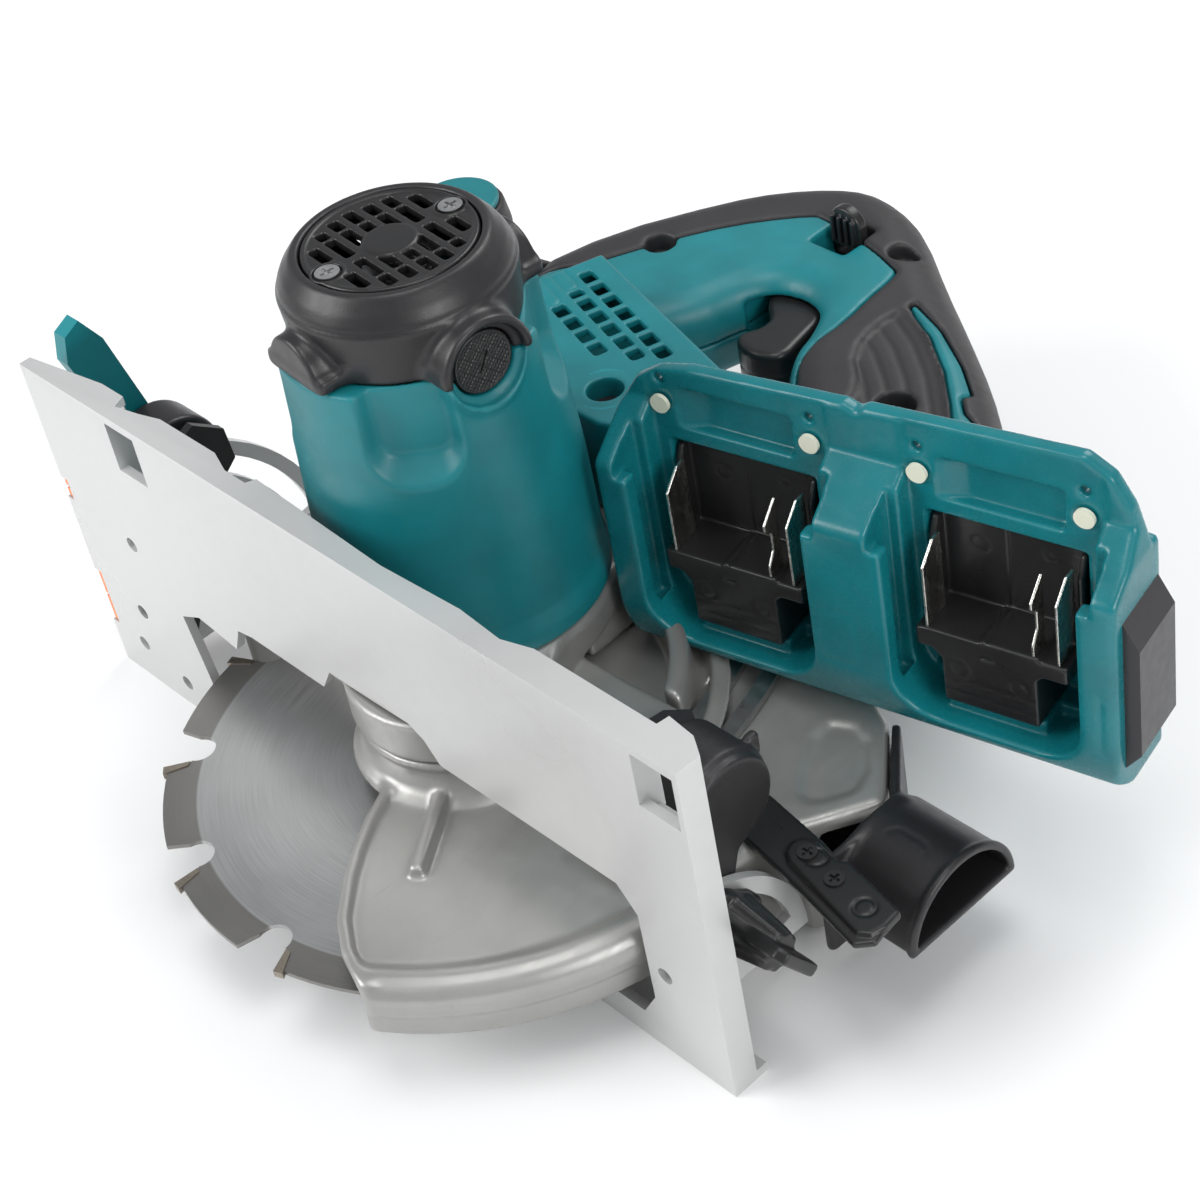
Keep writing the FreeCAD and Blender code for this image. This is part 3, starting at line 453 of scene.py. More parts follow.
BRUSH_SIDE, BRUSH_Z = -5.0, 134.0
QUARTERS = [BRUSH_SIDE + 90.0 * index for index in range(4)]
BRUSH_SIDES = QUARTERS[::2]
CAP_LIP, CAP_HOLE, CAP_DEPTH = 11.6, 9.6, 35.6
MOTOR_SIDE = [(0, 40.4), (40.6, 40.4), (41.5, 41.4), (41.5, 46), (40.4, 52), (40.0, 80), (39.0, 100),
              (38.0, 120), (37.4, 134), (0, 134)]
MOTOR_HOLLOW = [(0, 39), (37.2, 39), (37.2, 54), (34.4, 56), (34.4, 96), (30.2, 106), (30.2, 140), (0, 140)]
COVER_SIDE = [(0, 130), (31.6, 130), (31.6, 134), (32.9, 148.4), (32.6, 149.6), (30.4, 153.6), (27.6, 157.1),
              (26.8, 157.9), (0, 157.9)]
COVER_HOLLOW = [(0, 128), (29.6, 128), (29.4, 147), (26.5, 150.5), (24.6, 152), (24.6, 160), (0, 160)]


def recess_field(g, turn):
    """Flat-bottomed hollow with sloping walls and a round end, running up the motor into the end cover."""
    across, along = turned(g, MOTOR, turn)
    edge = rounded(along, g.z, -9.6, 9.6, 110.6, 200, 5.0)
    return np.maximum((edge - (across - 31.6) * 0.9) * 0.74, 31.6 - across)


def cross_bar(g, turn, radius, low, high, edge=0.0):
    """Round bar that points out of the motor at the brushes' height."""
    across, along = turned(g, MOTOR, turn)
    return slab(disc(along, g.z, (0, BRUSH_Z), radius), across, low, high, edge)


def sink_caps(g, body):
    """Round seats for the two brush caps."""
    for turn in BRUSH_SIDES:
        body = cut(body, cross_bar(g, turn, CAP_LIP, CAP_DEPTH, 60), 0.4)
        body = cut(body, cross_bar(g, turn, CAP_HOLE, 20, 60))
    return body


def motor_housing():
    """Tapered shell with four U shaped hollows and half of each brush boss."""
    g = Room((-62.5, 9, 38), (26, 97.5, 135), 0.72)
    shell = lathe(MOTOR_SIDE, g)
    for turn in QUARTERS:
        shell = cut(shell, recess_field(g, turn + 52.0), 0.7)
    for turn in BRUSH_SIDES:
        shell = join(shell, cross_bar(g, turn, 12.6, 20, 38.2, 1.2), 3.0)
    shell = both(sink_caps(g, shell), g.z - 132.9)
    shell = cut(shell, lathe(MOTOR_HOLLOW, g))
    moulded("motor_shell", g, shell, teal, "motor_housing")


def end_cover():
    """Black cover with a ledge round it, four bosses and the spider that holds the bearing."""
    g = Room((-61, 11, 131), (24, 95, 159.5), 0.62)
    body = lathe(COVER_SIDE, g)
    for turn in QUARTERS:
        across, along = turned(g, MOTOR, turn)
        column = slab(np.maximum(np.abs(along) - 13.4, g.z - 137.0), across, 20, 36.8, 1.0)
        wide, reach = (14.2, 38.2) if turn in BRUSH_SIDES else (11.4, 37.0)
        body = join(body, both(column, 131.0 - g.z), 3.0)
        body = join(body, cross_bar(g, turn, wide, 20, reach, 1.0), 2.4)
    body = sink_caps(g, body)
    line = np.abs(lathe([(0, 130), (60, 130), (60, 149.6), (0, 149.6)], g)) - 0.2
    body = cut(body, np.maximum(line, -disc(g.x, g.y, MOTOR, 31.7)), 0.4)
    body = both(body, 133.1 - g.z)
    body = cut(body, lathe(COVER_HOLLOW, g))
    body = join(body, slab(np.abs(disc(g.x, g.y, MOTOR, 10.3)) - 1.2, g.z, 143.5, 150.5))
    for turn in (40, 130):
        across, along = turned(g, MOTOR, turn)
        arm = np.maximum(np.maximum(np.abs(along) - 1.5, np.abs(across) - 31), 11 - np.abs(across))
        body = join(body, slab(arm, g.z, 143.5, 147.5))
    moulded("motor_cover", g, body, black, "motor_end_cover")


def grille():
    """Round intake: staggered slots along the saw, a plain raised middle, a rim and two sunk screw seats."""
    g = Room((-44.5, 27, 151.5), (7.5, 79, 159), 0.36)
    along, across = turned(g, MOTOR, BRUSH_SIDE)
    radius = np.hypot(along, across)
    plate = slab(radius - 24.2, g.z, 154.6, 157.4, 0.4)
    rows = {3: [(-13.3, -4.7), (4.7, 12.8)],
            2: [(-18.0, -12.2), (-11.2, -1.0), (1.9, 12.9), (13.9, 17.8)],
            1: [(-19.2, -13.2), (-12.2, -2.0), (2.0, 13.6), (14.6, 20.0)],
            0: [(-20.6, -13.8), (-12.7, 0)]}
    slots = []
    for index, spans in rows.items():
        for start, end in spans:
            for way in (-1, 1):
                low, high = sorted((start * way, end * way))
                middle = 5.5 * index * way
                slots.append(rounded(along, across, low, high, middle - 1.6, middle + 1.6, 0.5))
    seats = np.minimum(np.hypot(along, across - 20.0), np.hypot(along, across + 20.0))
    slots = np.maximum(np.minimum.reduce(slots), np.maximum(8.0 - radius, 5.0 - seats))
    slots = np.maximum(slots, radius - 21.6)
    body = cut(plate, slab(slots, g.z, 150, 160), 0.3)
    body = join(body, slab(radius - 7.4, g.z, 155.0, 157.8, 0.3), 0.3)
    body = join(body, slab(np.abs(radius - 23.3) - 0.7, g.z, 155, 157.9, 0.3), 0.3)
    body = join(body, slab(np.abs(seats - 4.5) - 0.4, g.z, 155, 157.9, 0.2), 0.2)
    body = cut(body, slab(seats - 4.0, g.z, 156.3, 160), 0.2)
    moulded("intake_grille", g, body, black_fine, "motor_grille")


def brush_cap(index, turn):
    """Screwed cap with small pyramids over its face and a slot for a coin."""
    g = Room((31.6, -10, -10), (36.6, 10, 10), 0.28)
    face = slab(np.hypot(g.y, g.z) - 9.1, g.x, 32.6, 35.0, 0.4)
    knurl = np.abs(np.sin((g.y + g.z) * 2.1)) * np.abs(np.sin((g.y - g.z) * 2.1))
    face = face + 0.55 * knurl * np.clip((g.x - 34.0) * 2, 0, 1) * np.clip(8.6 - np.hypot(g.y, g.z), 0, 1)
    length, width = g.y * 0.5 + g.z * 0.866, g.z * 0.5 - g.y * 0.866
    slot = np.maximum(np.maximum(np.abs(length) - 3.2, np.abs(width) - 0.5), 34.0 - g.x)
    points, faces = skin(cut(face, slot), g)
    points = turned_back(points, MOTOR, turn, BRUSH_Z)
    piece = mesh_object("brush_cap_%d" % index, points, faces, black_fine)
    stand_in(piece, "brush_caps")


# ---------------- handle

HANDLE_OUTER = [(-112, 158), (-104, 192), (-84, 227), (-72, 242), (-57, 254), (-44, 259.5), (-30, 258),
                (-16, 252), (8, 234), (31, 218), (53, 202), (68, 189), (84, 172), (96, 152), (100, 136)]
HANDLE_BASE = [(60, 127), (18, 121), (10, 116), (12, 104), (-4, 97.5), (-52, 97.5), (-84, 118)]
FINGER_GAP = [(-60, 148), (-42, 170), (-37, 190), (-30, 199), (-14, 199), (-7, 186), (-4, 174), (8, 160),
              (22, 149), (36, 138), (34, 131), (0, 132), (-40, 143)]
VENT_BODY = [(-78, 126), (-67, 159), (8, 137), (18, 121), (10, 116), (12, 104), (-4, 97.5), (-46, 97.5)]
TEAL_SIDE = [(-118, 150), (-92, 163), (-83, 181), (-75.5, 196), (-65, 212), (-52, 226), (-42, 233.5),
             (-3, 223.5), (-0.5, 219), (0.5, 207), (2.8, 193), (2, 181), (3.5, 171), (9, 164), (16, 157),
             (40, 146), (62, 140), (70, 110), (0, 80), (-60, 80), (-130, 120)]
STRIP = [(13.9, 212.4), (29.4, 207), (45.9, 197.3), (57.0, 188.5), (56.6, 184.2), (62.0, 179.4),
         (67.5, 177.8), (70.9, 171.8), (65.5, 170.5), (55.9, 180.4), (44.4, 191.2), (29.5, 202),
         (14.3, 209.8)]
PANEL = [(13.2, 209.5), (11.2, 197.1), (14.6, 183.0), (27.7, 171.0), (31.7, 160), (50, 146), (84, 146),
         (76, 162), (64.6, 170.0), (55.3, 179.6), (43.8, 190.4), (29, 201.2)]
BEHIND_STRIP = STRIP[:-6:-1] + [(84, 146), (150, 146), (150, 260), (14, 260)]
TRIGGER_SLOT = [(-39, 190), (-12, 168), (-1, 168), (-2, 208), (-39, 208)]
HANDLE_SCREWS = [(-77.5, 191.5), (-7.5, 231.5), (42.5, 171.0)]
HANDLE_LOW, HANDLE_MID, HANDLE_HIGH, HANDLE_ROUND = 23, 40, 57, 16.0
SEAM = 0.2
PAD_HOLE = (-14.0, 110.0)


def handle():
    """Two teal halves and the black soft cover that wraps the back and the rear arm."""
    g = Room((-116, 94, 21), (104, 263, 78), 0.85)
    flat = outline(smooth(HANDLE_OUTER + HANDLE_BASE, 1), g.x, g.y)
    gap = outline(smooth(FINGER_GAP, 2), g.x, g.y)
    body = slab(flat, g.z, HANDLE_LOW, HANDLE_HIGH, HANDLE_ROUND)
    body = cut(body, gap, 13.0)
    pocket = block(g, -37, -22, 219.6, 236, 46, 70, 0.5)
    body = cut(body, pocket, 0.8)
    for centre in HANDLE_SCREWS:
        for low, high in ((49.5, 70), (10, 26.5)):
            body = cut(body, slab(disc(g.x, g.y, centre, 5.2), g.z, low, high), 0.8)
    trigger_room = slab(outline(TRIGGER_SLOT, g.x, g.y), g.z, 30.4, 49.6)
    body = cut(body, trigger_room, 0.4)
    body = cut(body, disc(g.x, g.y, MOTOR, MOTOR_ROOM))
    body = np.maximum(body, -bay_depth_field(g))

    teal_side = outline(smooth(TEAL_SIDE, 1), g.x, g.y)
    strip = outline(STRIP, g.x, g.y)
    panel = outline(smooth(PANEL, 1), g.x, g.y)
    soft = np.maximum(-np.minimum(teal_side, strip), g.z - 57.9)
    vent_zone = np.maximum(outline(VENT_BODY, g.x, g.y) - 1.2, 40 - g.z)
    soft = np.maximum(soft, -vent_zone)
    proud = body - 0.45
    proud = proud + 1.5 * np.clip(-panel * 1.2, 0, 1) * (g.z > 45)
    from_strip = outline(BEHIND_STRIP, g.x, g.y)
    for offset in (6.0, 12.0, 18.0, 24.0, 30.0):
        line = np.clip(1.2 - np.abs(from_strip - offset) * 1.6, 0, 1) * (panel < -0.6)
        proud = proud + 0.7 * line * (g.z > 45)
    cover = both(both(proud, soft + 0.22, 0.5), -(body + 3.2))
    moulded("soft_cover", g, cover, rubber, "grip_cover")
    shell = join(both(body, -soft + 0.22, 0.4), body + 2.6)
    shell = join(shell, slab(outline(VENT_BODY, g.x, g.y) + 0.5, g.z, 41, 60), 2.0)
    shell = cut(shell, disc(g.x, g.y, MOTOR, MOTOR_ROOM))
    for side, way in (("left", 1), ("right", -1)):
        half = np.maximum(shell, way * (HANDLE_MID - g.z) + SEAM)
        moulded("handle_half_" + side, g, half, teal, "handle_" + side)


def vent_panel():
    """Air outlet panel that stands up beside the motor."""
    g = Room((-81, 94, 54), (23, 163, 77), 0.42)
    body = slab(outline(VENT_BODY, g.x, g.y), g.z, 55, 75, 1.2)
    body = cut(body, slab(outline(VENT_BODY, g.x, g.y) + 2.6, g.z, 50, 72.2))
    body = cut(body, vent_slots(g), 0.2)
    body = join(body, slab(np.abs(disc(g.x, g.y, PAD_HOLE, 6.8)) - 1.2, g.z, 56, 75, 0.3), 0.4)
    body = cut(body, slab(disc(g.x, g.y, PAD_HOLE, 5.6), g.z, 50, 90), 0.5)
    body = np.maximum(body, -disc(g.x, g.y, MOTOR, MOTOR_ROOM))
    moulded("vent_cover", g, body, teal, "handle_left")


def vent_slots(g):
    """Three slanted rows of cooling slots with thin bars, and two blind grooves beside them."""
    along, across = turned(g, (-61, 147), math.degrees(math.atan2(-16, 52)))
    pitch, first, half = 8.35, -0.5, 2.3
    holes = []
    rows = ((0.65, -0.38, 6.38, 0.5), (-6.35, 0.5, 5.85, 0.08), (-14.2, 0.95, 4.75, 0.85))
    for row, start, end, phase in rows:
        low, high = first + pitch * start, first + pitch * end
        hole = rounded(along, across, low, high, row - half, row + half, 1.4)
        place_in_row = (along - first) / pitch - phase
        bar = 1.05 - np.abs(place_in_row - np.round(place_in_row)) * pitch
        holes.append(np.maximum(hole, bar))
    slots = slab(np.minimum.reduce(holes), g.z, 66, 90)
    for row, start, end in ((-6.35, -1.1, 0.38), (-14.2, -1.15, 0.86)):
        low, high = first + pitch * start, first + pitch * end
        blind = rounded(along, across, low, high, row - half, row + half, 2.2)
        slots = np.minimum(slots, slab(np.abs(blind) - 0.3, g.z, 74.3, 90))
    return slots


# ---------------- battery bays

BAY_CORNER = (19.8, 92.6)
BAY_TILT = 13.0
BAY_STARTS = (6.8, 85.8)
BAY_OUTLINE = [(-3, 20.5), (152, 20.5), (152, 92), (148.5, 104), (143.5, 112.5), (136, 117), (74.5, 114.4),
               (71.5, 112.6), (68, 114.1), (20, 111.6), (9, 109), (2, 104.5), (-3, 97)]


def in_bay(name, g, field, material, node):
    """Makes a piece drawn in the tilted bay's own coordinates: along it, up from its ceiling, height."""
    points, faces = skin(field, g)
    stand_in(mesh_object(name, turned_back(points, BAY_CORNER, BAY_TILT), faces, material), node)


def bay_depth_field(g):
    """Space that the battery housing takes, seen from the handle."""
    u, w = turned(g, BAY_CORNER, BAY_TILT)
    inside = np.maximum(np.maximum(-4 - u, u - 153), np.maximum(w - 24.3, -30 - w))
    thin = np.maximum(w - 9.3, 58.3 - g.z)
    return np.maximum(np.maximum(inside, 19.5 - g.z), np.minimum(np.maximum(w - 24.3, g.z - 58.3), thin))


def battery_housing():
    """Twin bay: thin ceiling, three walls round each bay with battery rails, pockets for the contacts."""
    g = Room((-6, -21, 18), (155, 27, 119.5), 0.66)
    u, w, z = g.x, g.y, g.z
    shape = outline(BAY_OUTLINE, u, z)
    depth = slab(shape, w, -18, 9, 1.6)
    depth = cut(depth, np.maximum(5.4 - w, 92 - z), 2.0)
    root = block(g, -3, 144, 0, 24, 20.5, 58, 4.0)
    body = join(depth, root, 3.0)
    foot = outline([(-40, 10), (-40, 20.4), (-14, 20.4), (-19, 30), (-40, 60), (-60, 60), (-60, 10)], w, z)
    body = cut(body, foot, 6.0)
    for start in BAY_STARTS:
        body = cut(body, slab(rounded(u, z, start, start + 55, 27, 300, 14), w, -40, 0), 1.0)
    ramp = ((z - 87.0) * 1.5 - (w + 18)) / 1.8
    body = cut(body, np.maximum(-ramp, w), 2.0)
    for start in BAY_STARTS:
        for edge, way in ((start, -1), (start + 55, 1)):
            notch = np.maximum(np.abs(u - edge - way * 1.9) - 2.1, np.maximum(82.5 - z, w + 9.5))
            body = cut(body, notch, 0.3)
            rail = np.maximum(np.abs(u - edge - way * 1.7) - 1.9, np.maximum(np.abs(w + 9.0) - 3.4, 34 - z))
            body = cut(body, rail, 0.3)
        body = cut(body, block(g, start + 4.6, start + 50.4, -2, 7.0, 31, 86.4, 0.6), 0.3)
        body = join(body, block(g, start + 12.0, start + 41.0, -9.0, 8, 25, 31.6, 0.6), 0.5)
        latch = rounded(u, z, start + 8.5, start + 44.5, 91.7, 104.5, 1.4)
        slope = np.clip((start + 16 - u) * 0.5, 0, 3.2)
        body = cut(body, slab(latch, w + 0.8 * slope, -3, 3.6), 0.4)
        frame_line = np.abs(rounded(u, z, start + 0.3, start + 54.5, 89.6, 108.2, 3.2)) - 0.22
        body = cut(body, slab(frame_line, w, -2, 0.4))
        for offset in (3.4, 50.4):
            body = cut(body, slab(disc(u, z, (start + offset, 98.7), 3.05), w, -2, 0.8), 0.2)
            body = cut(body, slab(disc(u, z, (start + offset - 0.3, 106.2), 1.5), w, -2, 5))
    for left, right, low, high in ((-3.6, -0.6, 40, 60), (64, 77, 40, 58), (147, 153, 36, 56)):
        line = np.abs(rounded(u, z, left, right, low, high, 0.3)) - 0.25
        body = cut(body, np.maximum(line, w + 17.6))
    a = math.radians(BAY_TILT)
    x = BAY_CORNER[0] + u * math.cos(a) - w * math.sin(a)
    y = BAY_CORNER[1] + u * math.sin(a) + w * math.cos(a)
    field = np.maximum(soften(body), -disc(x, y, MOTOR, MOTOR_ROOM))
    in_bay("battery_block", g, field, smooth_teal, "battery_housing")


motor_housing()
end_cover()
grille()
for number, turn in enumerate(BRUSH_SIDES):
    brush_cap(number, turn)
handle()
vent_panel()
battery_housing()


# ---------------- front grip, trigger and lock-off

GRIP = (-138.0, 158.0)


def front_grip():
    """Round knob across the nose with a plain end disc, flowing into the front of the handle."""
    g = Room((-157, 126, 24), (-96, 200, 72), 0.8)
    radius = disc(g.x, g.y, GRIP, 0)
    knob = outline([(0, 26), (15, 26), (16.8, 29), (17.2, 45), (17.0, 60), (15.6, 68), (14.6, 69), (0, 69)],
                   radius, g.z)
    neck = outline(smooth([(-138, 143), (-141, 172), (-128, 174), (-112, 171), (-100, 179), (-84, 192),
                           (-84, 128), (-110, 136)], 1), g.x, g.y)
    body = join(knob, slab(neck, g.z, 27, 52, 9.0), 6.0)
    body = cut(body, slab(radius - 14.4, g.z, 68.0, 80, 0.2))
    body = np.maximum(body, -slab(outline(HANDLE_OUTER + HANDLE_BASE, g.x, g.y) + 1.5, g.z, 20, 60, 6.0))
    moulded("front_knob", g, body, rubber, "front_grip")
    g = Room((-153.5, 142.5, 66), (-122.5, 173.5, 71.5), 0.4)
    radius = disc(g.x, g.y, GRIP, 0)
    cap = slab(radius - 14.2, g.z, 68.1, 70.4, 0.5)
    cap = cut(cap, slab(radius - 3.0, g.z, 69.2, 72, 0.2), 0.3)
    moulded("front_knob_disc", g, cap, teal, "front_grip_cap")


def trigger():
    """Curved trigger with a hollow for the finger and a parting line."""
    g = Room((-40, 160, 29), (8, 206, 51), 0.5)
    points = [(-37, 201.6), (-31, 203), (-20, 203), (-13, 201), (-10.5, 187), (-8.2, 176), (-18, 171),
              (-27, 173.5), (-30, 178), (-26, 184), (-27, 190), (-34, 195)]
    side = outline(smooth(points, 2), g.x, g.y)
    body = slab(side, g.z, 31.2, 48.8, 2.4)
    seam = np.abs(g.z - HANDLE_MID) - SEAM
    body = cut(body, np.maximum(seam, -(side + 0.5)))
    moulded("trigger_blade", g, body, black_fine, "trigger", "trigger_body")


def lock_off():
    """Thin leaf with a round end and four ridges for the thumb."""
    g = Room((-38, 225, 50), (-20, 233.5, 69), 0.35)
    leaf = np.minimum(rounded(g.x, g.z, -36, -22.6, 52, 62, 1.0), disc(g.x, g.z, (-29.3, 60), 6.7))
    body = slab(leaf, g.y, 228, 232, 0.8)
    for index in range(4):
        ridge = block(g, -34 + 2.8 * index, -32.6 + 2.8 * index, 226.4, 230, 54, 64, 0.5)
        body = join(body, both(ridge, leaf + 0.8), 0.4)
    moulded("lock_off_leaf", g, body, black_fine, "lock_off_lever", "lock_off")


front_grip()
trigger()
lock_off()


# ---------------- castings

CLAMP = (66.25, 51.05)


def gear_housing():
    """Cast head with soft fillets: spindle nose, gear room, motor flange and the two lugs."""
    g = Room((-124.5, -5, 7), (81, 103, 41.5), 0.85)
    radius = disc(g.x, g.y, ARBOR, 0)
    nose = outline([(0, 8.4), (26.2, 8.4), (26.4, 24.0), (27.6, 24.7), (31.0, 25.4), (31.5, 26.2),
                    (31.5, 38.6), (30.6, 39.4), (0, 39.4)], radius, g.z)
    body = join(nose, slab(disc(g.x, g.y, MOTOR, 41.3), g.z, 27.0, 40.0, 3.0), 5.0)
    seat = outline([(-52, 66), (14, 66), (12, 100), (-44, 100)], g.x, g.y)
    body = join(body, slab(seat, g.z, 15.2, 40, 2.0), 4.0)
    lug = outline([(-112, 15), (-50, 18), (-34, 60), (-60, 62), (-112, 37)], g.x, g.y)
    lug = np.minimum(lug, disc(g.x, g.y, PIVOT, 11.0))
    body = join(body, slab(lug, g.z, 21, 33, 2.5), 4.0)
    clamp_lug = outline([(10, 40), (66, 42), (76, 50), (70, 60), (20, 58)], g.x, g.y)
    body = join(body, slab(clamp_lug, g.z, 24.6, 27.0, 0.6), 1.0)
    body = join(body, slab(disc(g.x, g.y, CLAMP, 9.0), g.z, 18.6, 26, 0.6), 1.0)
    room = np.minimum(slab(radius - 28.9, g.z, 27.4, 36.6), slab(disc(g.x, g.y, MOTOR, 9.0), g.z, 27.6, 36.6))
    body = cut(body, room)
    for centre, hole, low, high in ((MOTOR, 11.3, 36, 42), (ARBOR, 15.2, 10, 26), (ARBOR, 8.8, 6, 28),
                                    (PIVOT, 4.2, 18, 36), (CLAMP, 3.2, 16, 29), (ARBOR, 6.2, 36, 42)):
        body = cut(body, slab(disc(g.x, g.y, centre, hole), g.z, low, high))
    body = cut(body, np.maximum(disc(g.y, g.z, (ARBOR[1], 31.5), 3.8), 27 - g.x))
    moulded("gear_case", g, body, cast, "gear_housing")


def case_flat(g, shrink):
    """Side outline of the upper guard: round over the blade, square at the dust outlet behind."""
    ring = np.maximum(disc(g.x, g.y, ARBOR, 108.4), np.maximum(20 - g.y, g.x - 104))
    chute = outline([(60, 57), (95, 54.2), (107, 54.2), (119.4, 76), (99, 100), (72, 114), (48, 102)],
                    g.x, g.y)
    return np.minimum(ring, chute) + shrink


def blade_case():
    """Upper guard: rounded rim, stepped collar about the spindle, shallow pocket beside the dust outlet."""
    g = Room((-111, 17, -29.5), (122, 138.5, 32), 0.95)
    flat = case_flat(g, 0.0)
    body = slab(flat, g.z, -28.2, 15.0, 3.0)
    body = np.maximum(body, 20.2 - g.y)
    radius = disc(g.x, g.y, ARBOR, 0)
    steps = outline([(61, 10), (84, 10), (83, 15.4), (79.5, 16.4), (77.6, 20.6), (73.6, 22.2), (72.2, 22.0),
                     (70.6, 17.0), (67.6, 17.0), (66.6, 28.6), (64.6, 29.8), (61, 29.8)], radius, g.z)
    sector = np.maximum(60.5 - g.y, np.maximum(112 - g.y - 2.2 * g.x, (g.y - 28) - 3.2 * g.x))
    sector = np.maximum(sector, flat + 2.0)
    body = join(body, np.maximum(steps, sector), 1.2)
    body = cut(body, slab(case_flat(g, 3.0), g.z, -25.6, 12.6, 1.0))
    body = cut(body, block(g, -105.4, 103, 0, 21, -25.6, 12.6))
    slot = np.abs(disc(g.x, g.y, PIVOT, GUIDE_RADIUS)) - 9.5
    body = cut(body, np.maximum(slot, np.abs(g.z - 17.05) - 1.75))
    hub_gap = np.minimum(radius - 33.5, np.maximum(np.abs(g.x) - 33.5, g.y - ARBOR[1]))
    body = cut(body, slab(hub_gap, g.z, 9, 40))
    body = cut(body, block(g, 96, 125, 60, 84, -17, 9))
    bolt_gap = np.minimum(radius - 30, np.maximum(np.abs(g.x) - 30, g.y - ARBOR[1]))
    body = cut(body, slab(bolt_gap, g.z, -31, -20), 1.0)
    body = cut(body, slab(disc(g.x, g.y, CLAMP, 6.5), g.z, 12, 16))
    body = np.maximum(body, -disc(g.x, g.y, MOTOR, 42.2) - 40 * (g.z < 26.8))
    pocket = outline(smooth([(83, 88), (97, 64), (104.5, 63), (112, 78), (96, 95)], 1), g.x, g.y)
    body = cut(body, slab(pocket, g.z, 14.1, 20), 0.5)
    line = np.abs(flat + 3.6) - 0.3
    body = cut(body, np.maximum(line, 14.7 - g.z), 0.3)
    moulded("upper_guard", g, body, cast, "blade_case")


def polar(radius, degrees):
    a = math.radians(degrees)
    return (ARBOR[0] + radius * math.cos(a), ARBOR[1] + radius * math.sin(a))


def lower_guard():
    """Cast lower guard: dished side, raised curved edge, bead and bulged rim, turned collar and one rib."""
    g = Room((-103, -78, -12.5), (105, 132, 25), 0.9)
    radius = disc(g.x, g.y, ARBOR, 0)
    edge = [polar(r, a) for r, a in ((20, -98), (33, -89), (45, -82), (56, -77), (66, -73), (80, -68),
                                     (90, -63.6), (105, -56))]
    area = outline(edge + [polar(150, a) for a in (-56, -10, 40, 90, 127)] + [polar(20, 140)], g.x, g.y)
    section = [(20, 8.6), (97.0, 8.6), (98.6, 6.0), (94.4, -11), (97.4, -11), (100.2, -1.5), (100.0, -0.6),
               (101.2, 0.4), (103.0, 6.0), (102.6, 9.0), (100.6, 11.4), (97.4, 12.8), (94.4, 12.6),
               (92.4, 11.2), (90.6, 10.7), (20, 10.7)]
    body = np.maximum(outline(section, radius, g.z), area)
    rim = np.maximum(np.maximum(np.abs(area + 1.7) - 1.7, radius - 100.6), np.abs(g.z - 10.6) - 2.0)
    body = join(body, rim, 1.2)
    groove = np.maximum(np.abs(area + 3.9) - 0.45, np.maximum(10.0 - g.z, radius - 91))
    body = cut(body, groove, 0.3)
    collar = outline([(26.75, 8.6), (34.5, 8.6), (34.5, 10.4), (33.4, 11.8), (32.2, 12.2), (30.4, 14.0),
                      (29.2, 17.0), (28.9, 19.6), (30.4, 21.6), (30.6, 23.2), (30.0, 23.6), (26.75, 23.6)],
                     radius, g.z)
    body = join(body, collar, 1.5)
    across, along = turned(g, ARBOR, -55)
    rib = np.maximum(np.abs(along) - 2.1 - (13.8 - g.z) * 0.12, np.abs(across - 45) - 15.5)
    rib = np.maximum(rib, np.abs(g.z - 12) - 2.3)
    body = join(body, rib, 1.0)
    body = cut(body, slab(radius - 26.75, g.z, 0, 40))
    moulded("swing_guard", g, body, cast, "lower_guard", "guard")


# ---------------- dust nozzle, arm, hoods and wing screw

def half_round(g, shrink):
    """Section of the spout: flat on the blade side, round on the motor side."""
    return np.maximum(disc(g.y, g.z, (71, -4), 20.4) + shrink, -4 + shrink - g.z)


def nozzle():
    """D shaped spout with a thick lip, a square flange and a strip that hooks round the guard's corner."""
    g = Room((99, 44, -22), (151.5, 103, 20), 0.6)
    body = slab(half_round(g, 0.0), g.x, 119.8, 150, 0.5)
    body = join(body, slab(half_round(g, -0.6), g.x, 147.8, 150, 0.7), 0.5)
    flange = rounded(g.y, g.z, 47, 82, -20, 14.5, 3.0)
    body = join(body, slab(flange, g.x, 119.7, 121.9, 0.6), 3.0)
    strip = outline([(119.8, 76.5), (100.2, 99.8), (102.2, 101.4), (122.0, 79.0), (122.0, 74), (119.8, 74)],
                    g.x, g.y)
    body = join(body, slab(strip, g.z, -16, 14.5, 0.5), 0.5)
    body = cut(body, slab(half_round(g, 2.0), g.x, 100, 160), 0.3)
    oval = np.abs(rounded(g.x, g.y, 128, 141, 64, 70, 3.0)) - 0.25
    body = cut(body, np.maximum(oval, 15.7 - g.z))
    body = np.maximum(body, np.minimum(119.75 - g.x, 75 - g.y))
    moulded("dust_spout", g, body, black, "dust_nozzle")


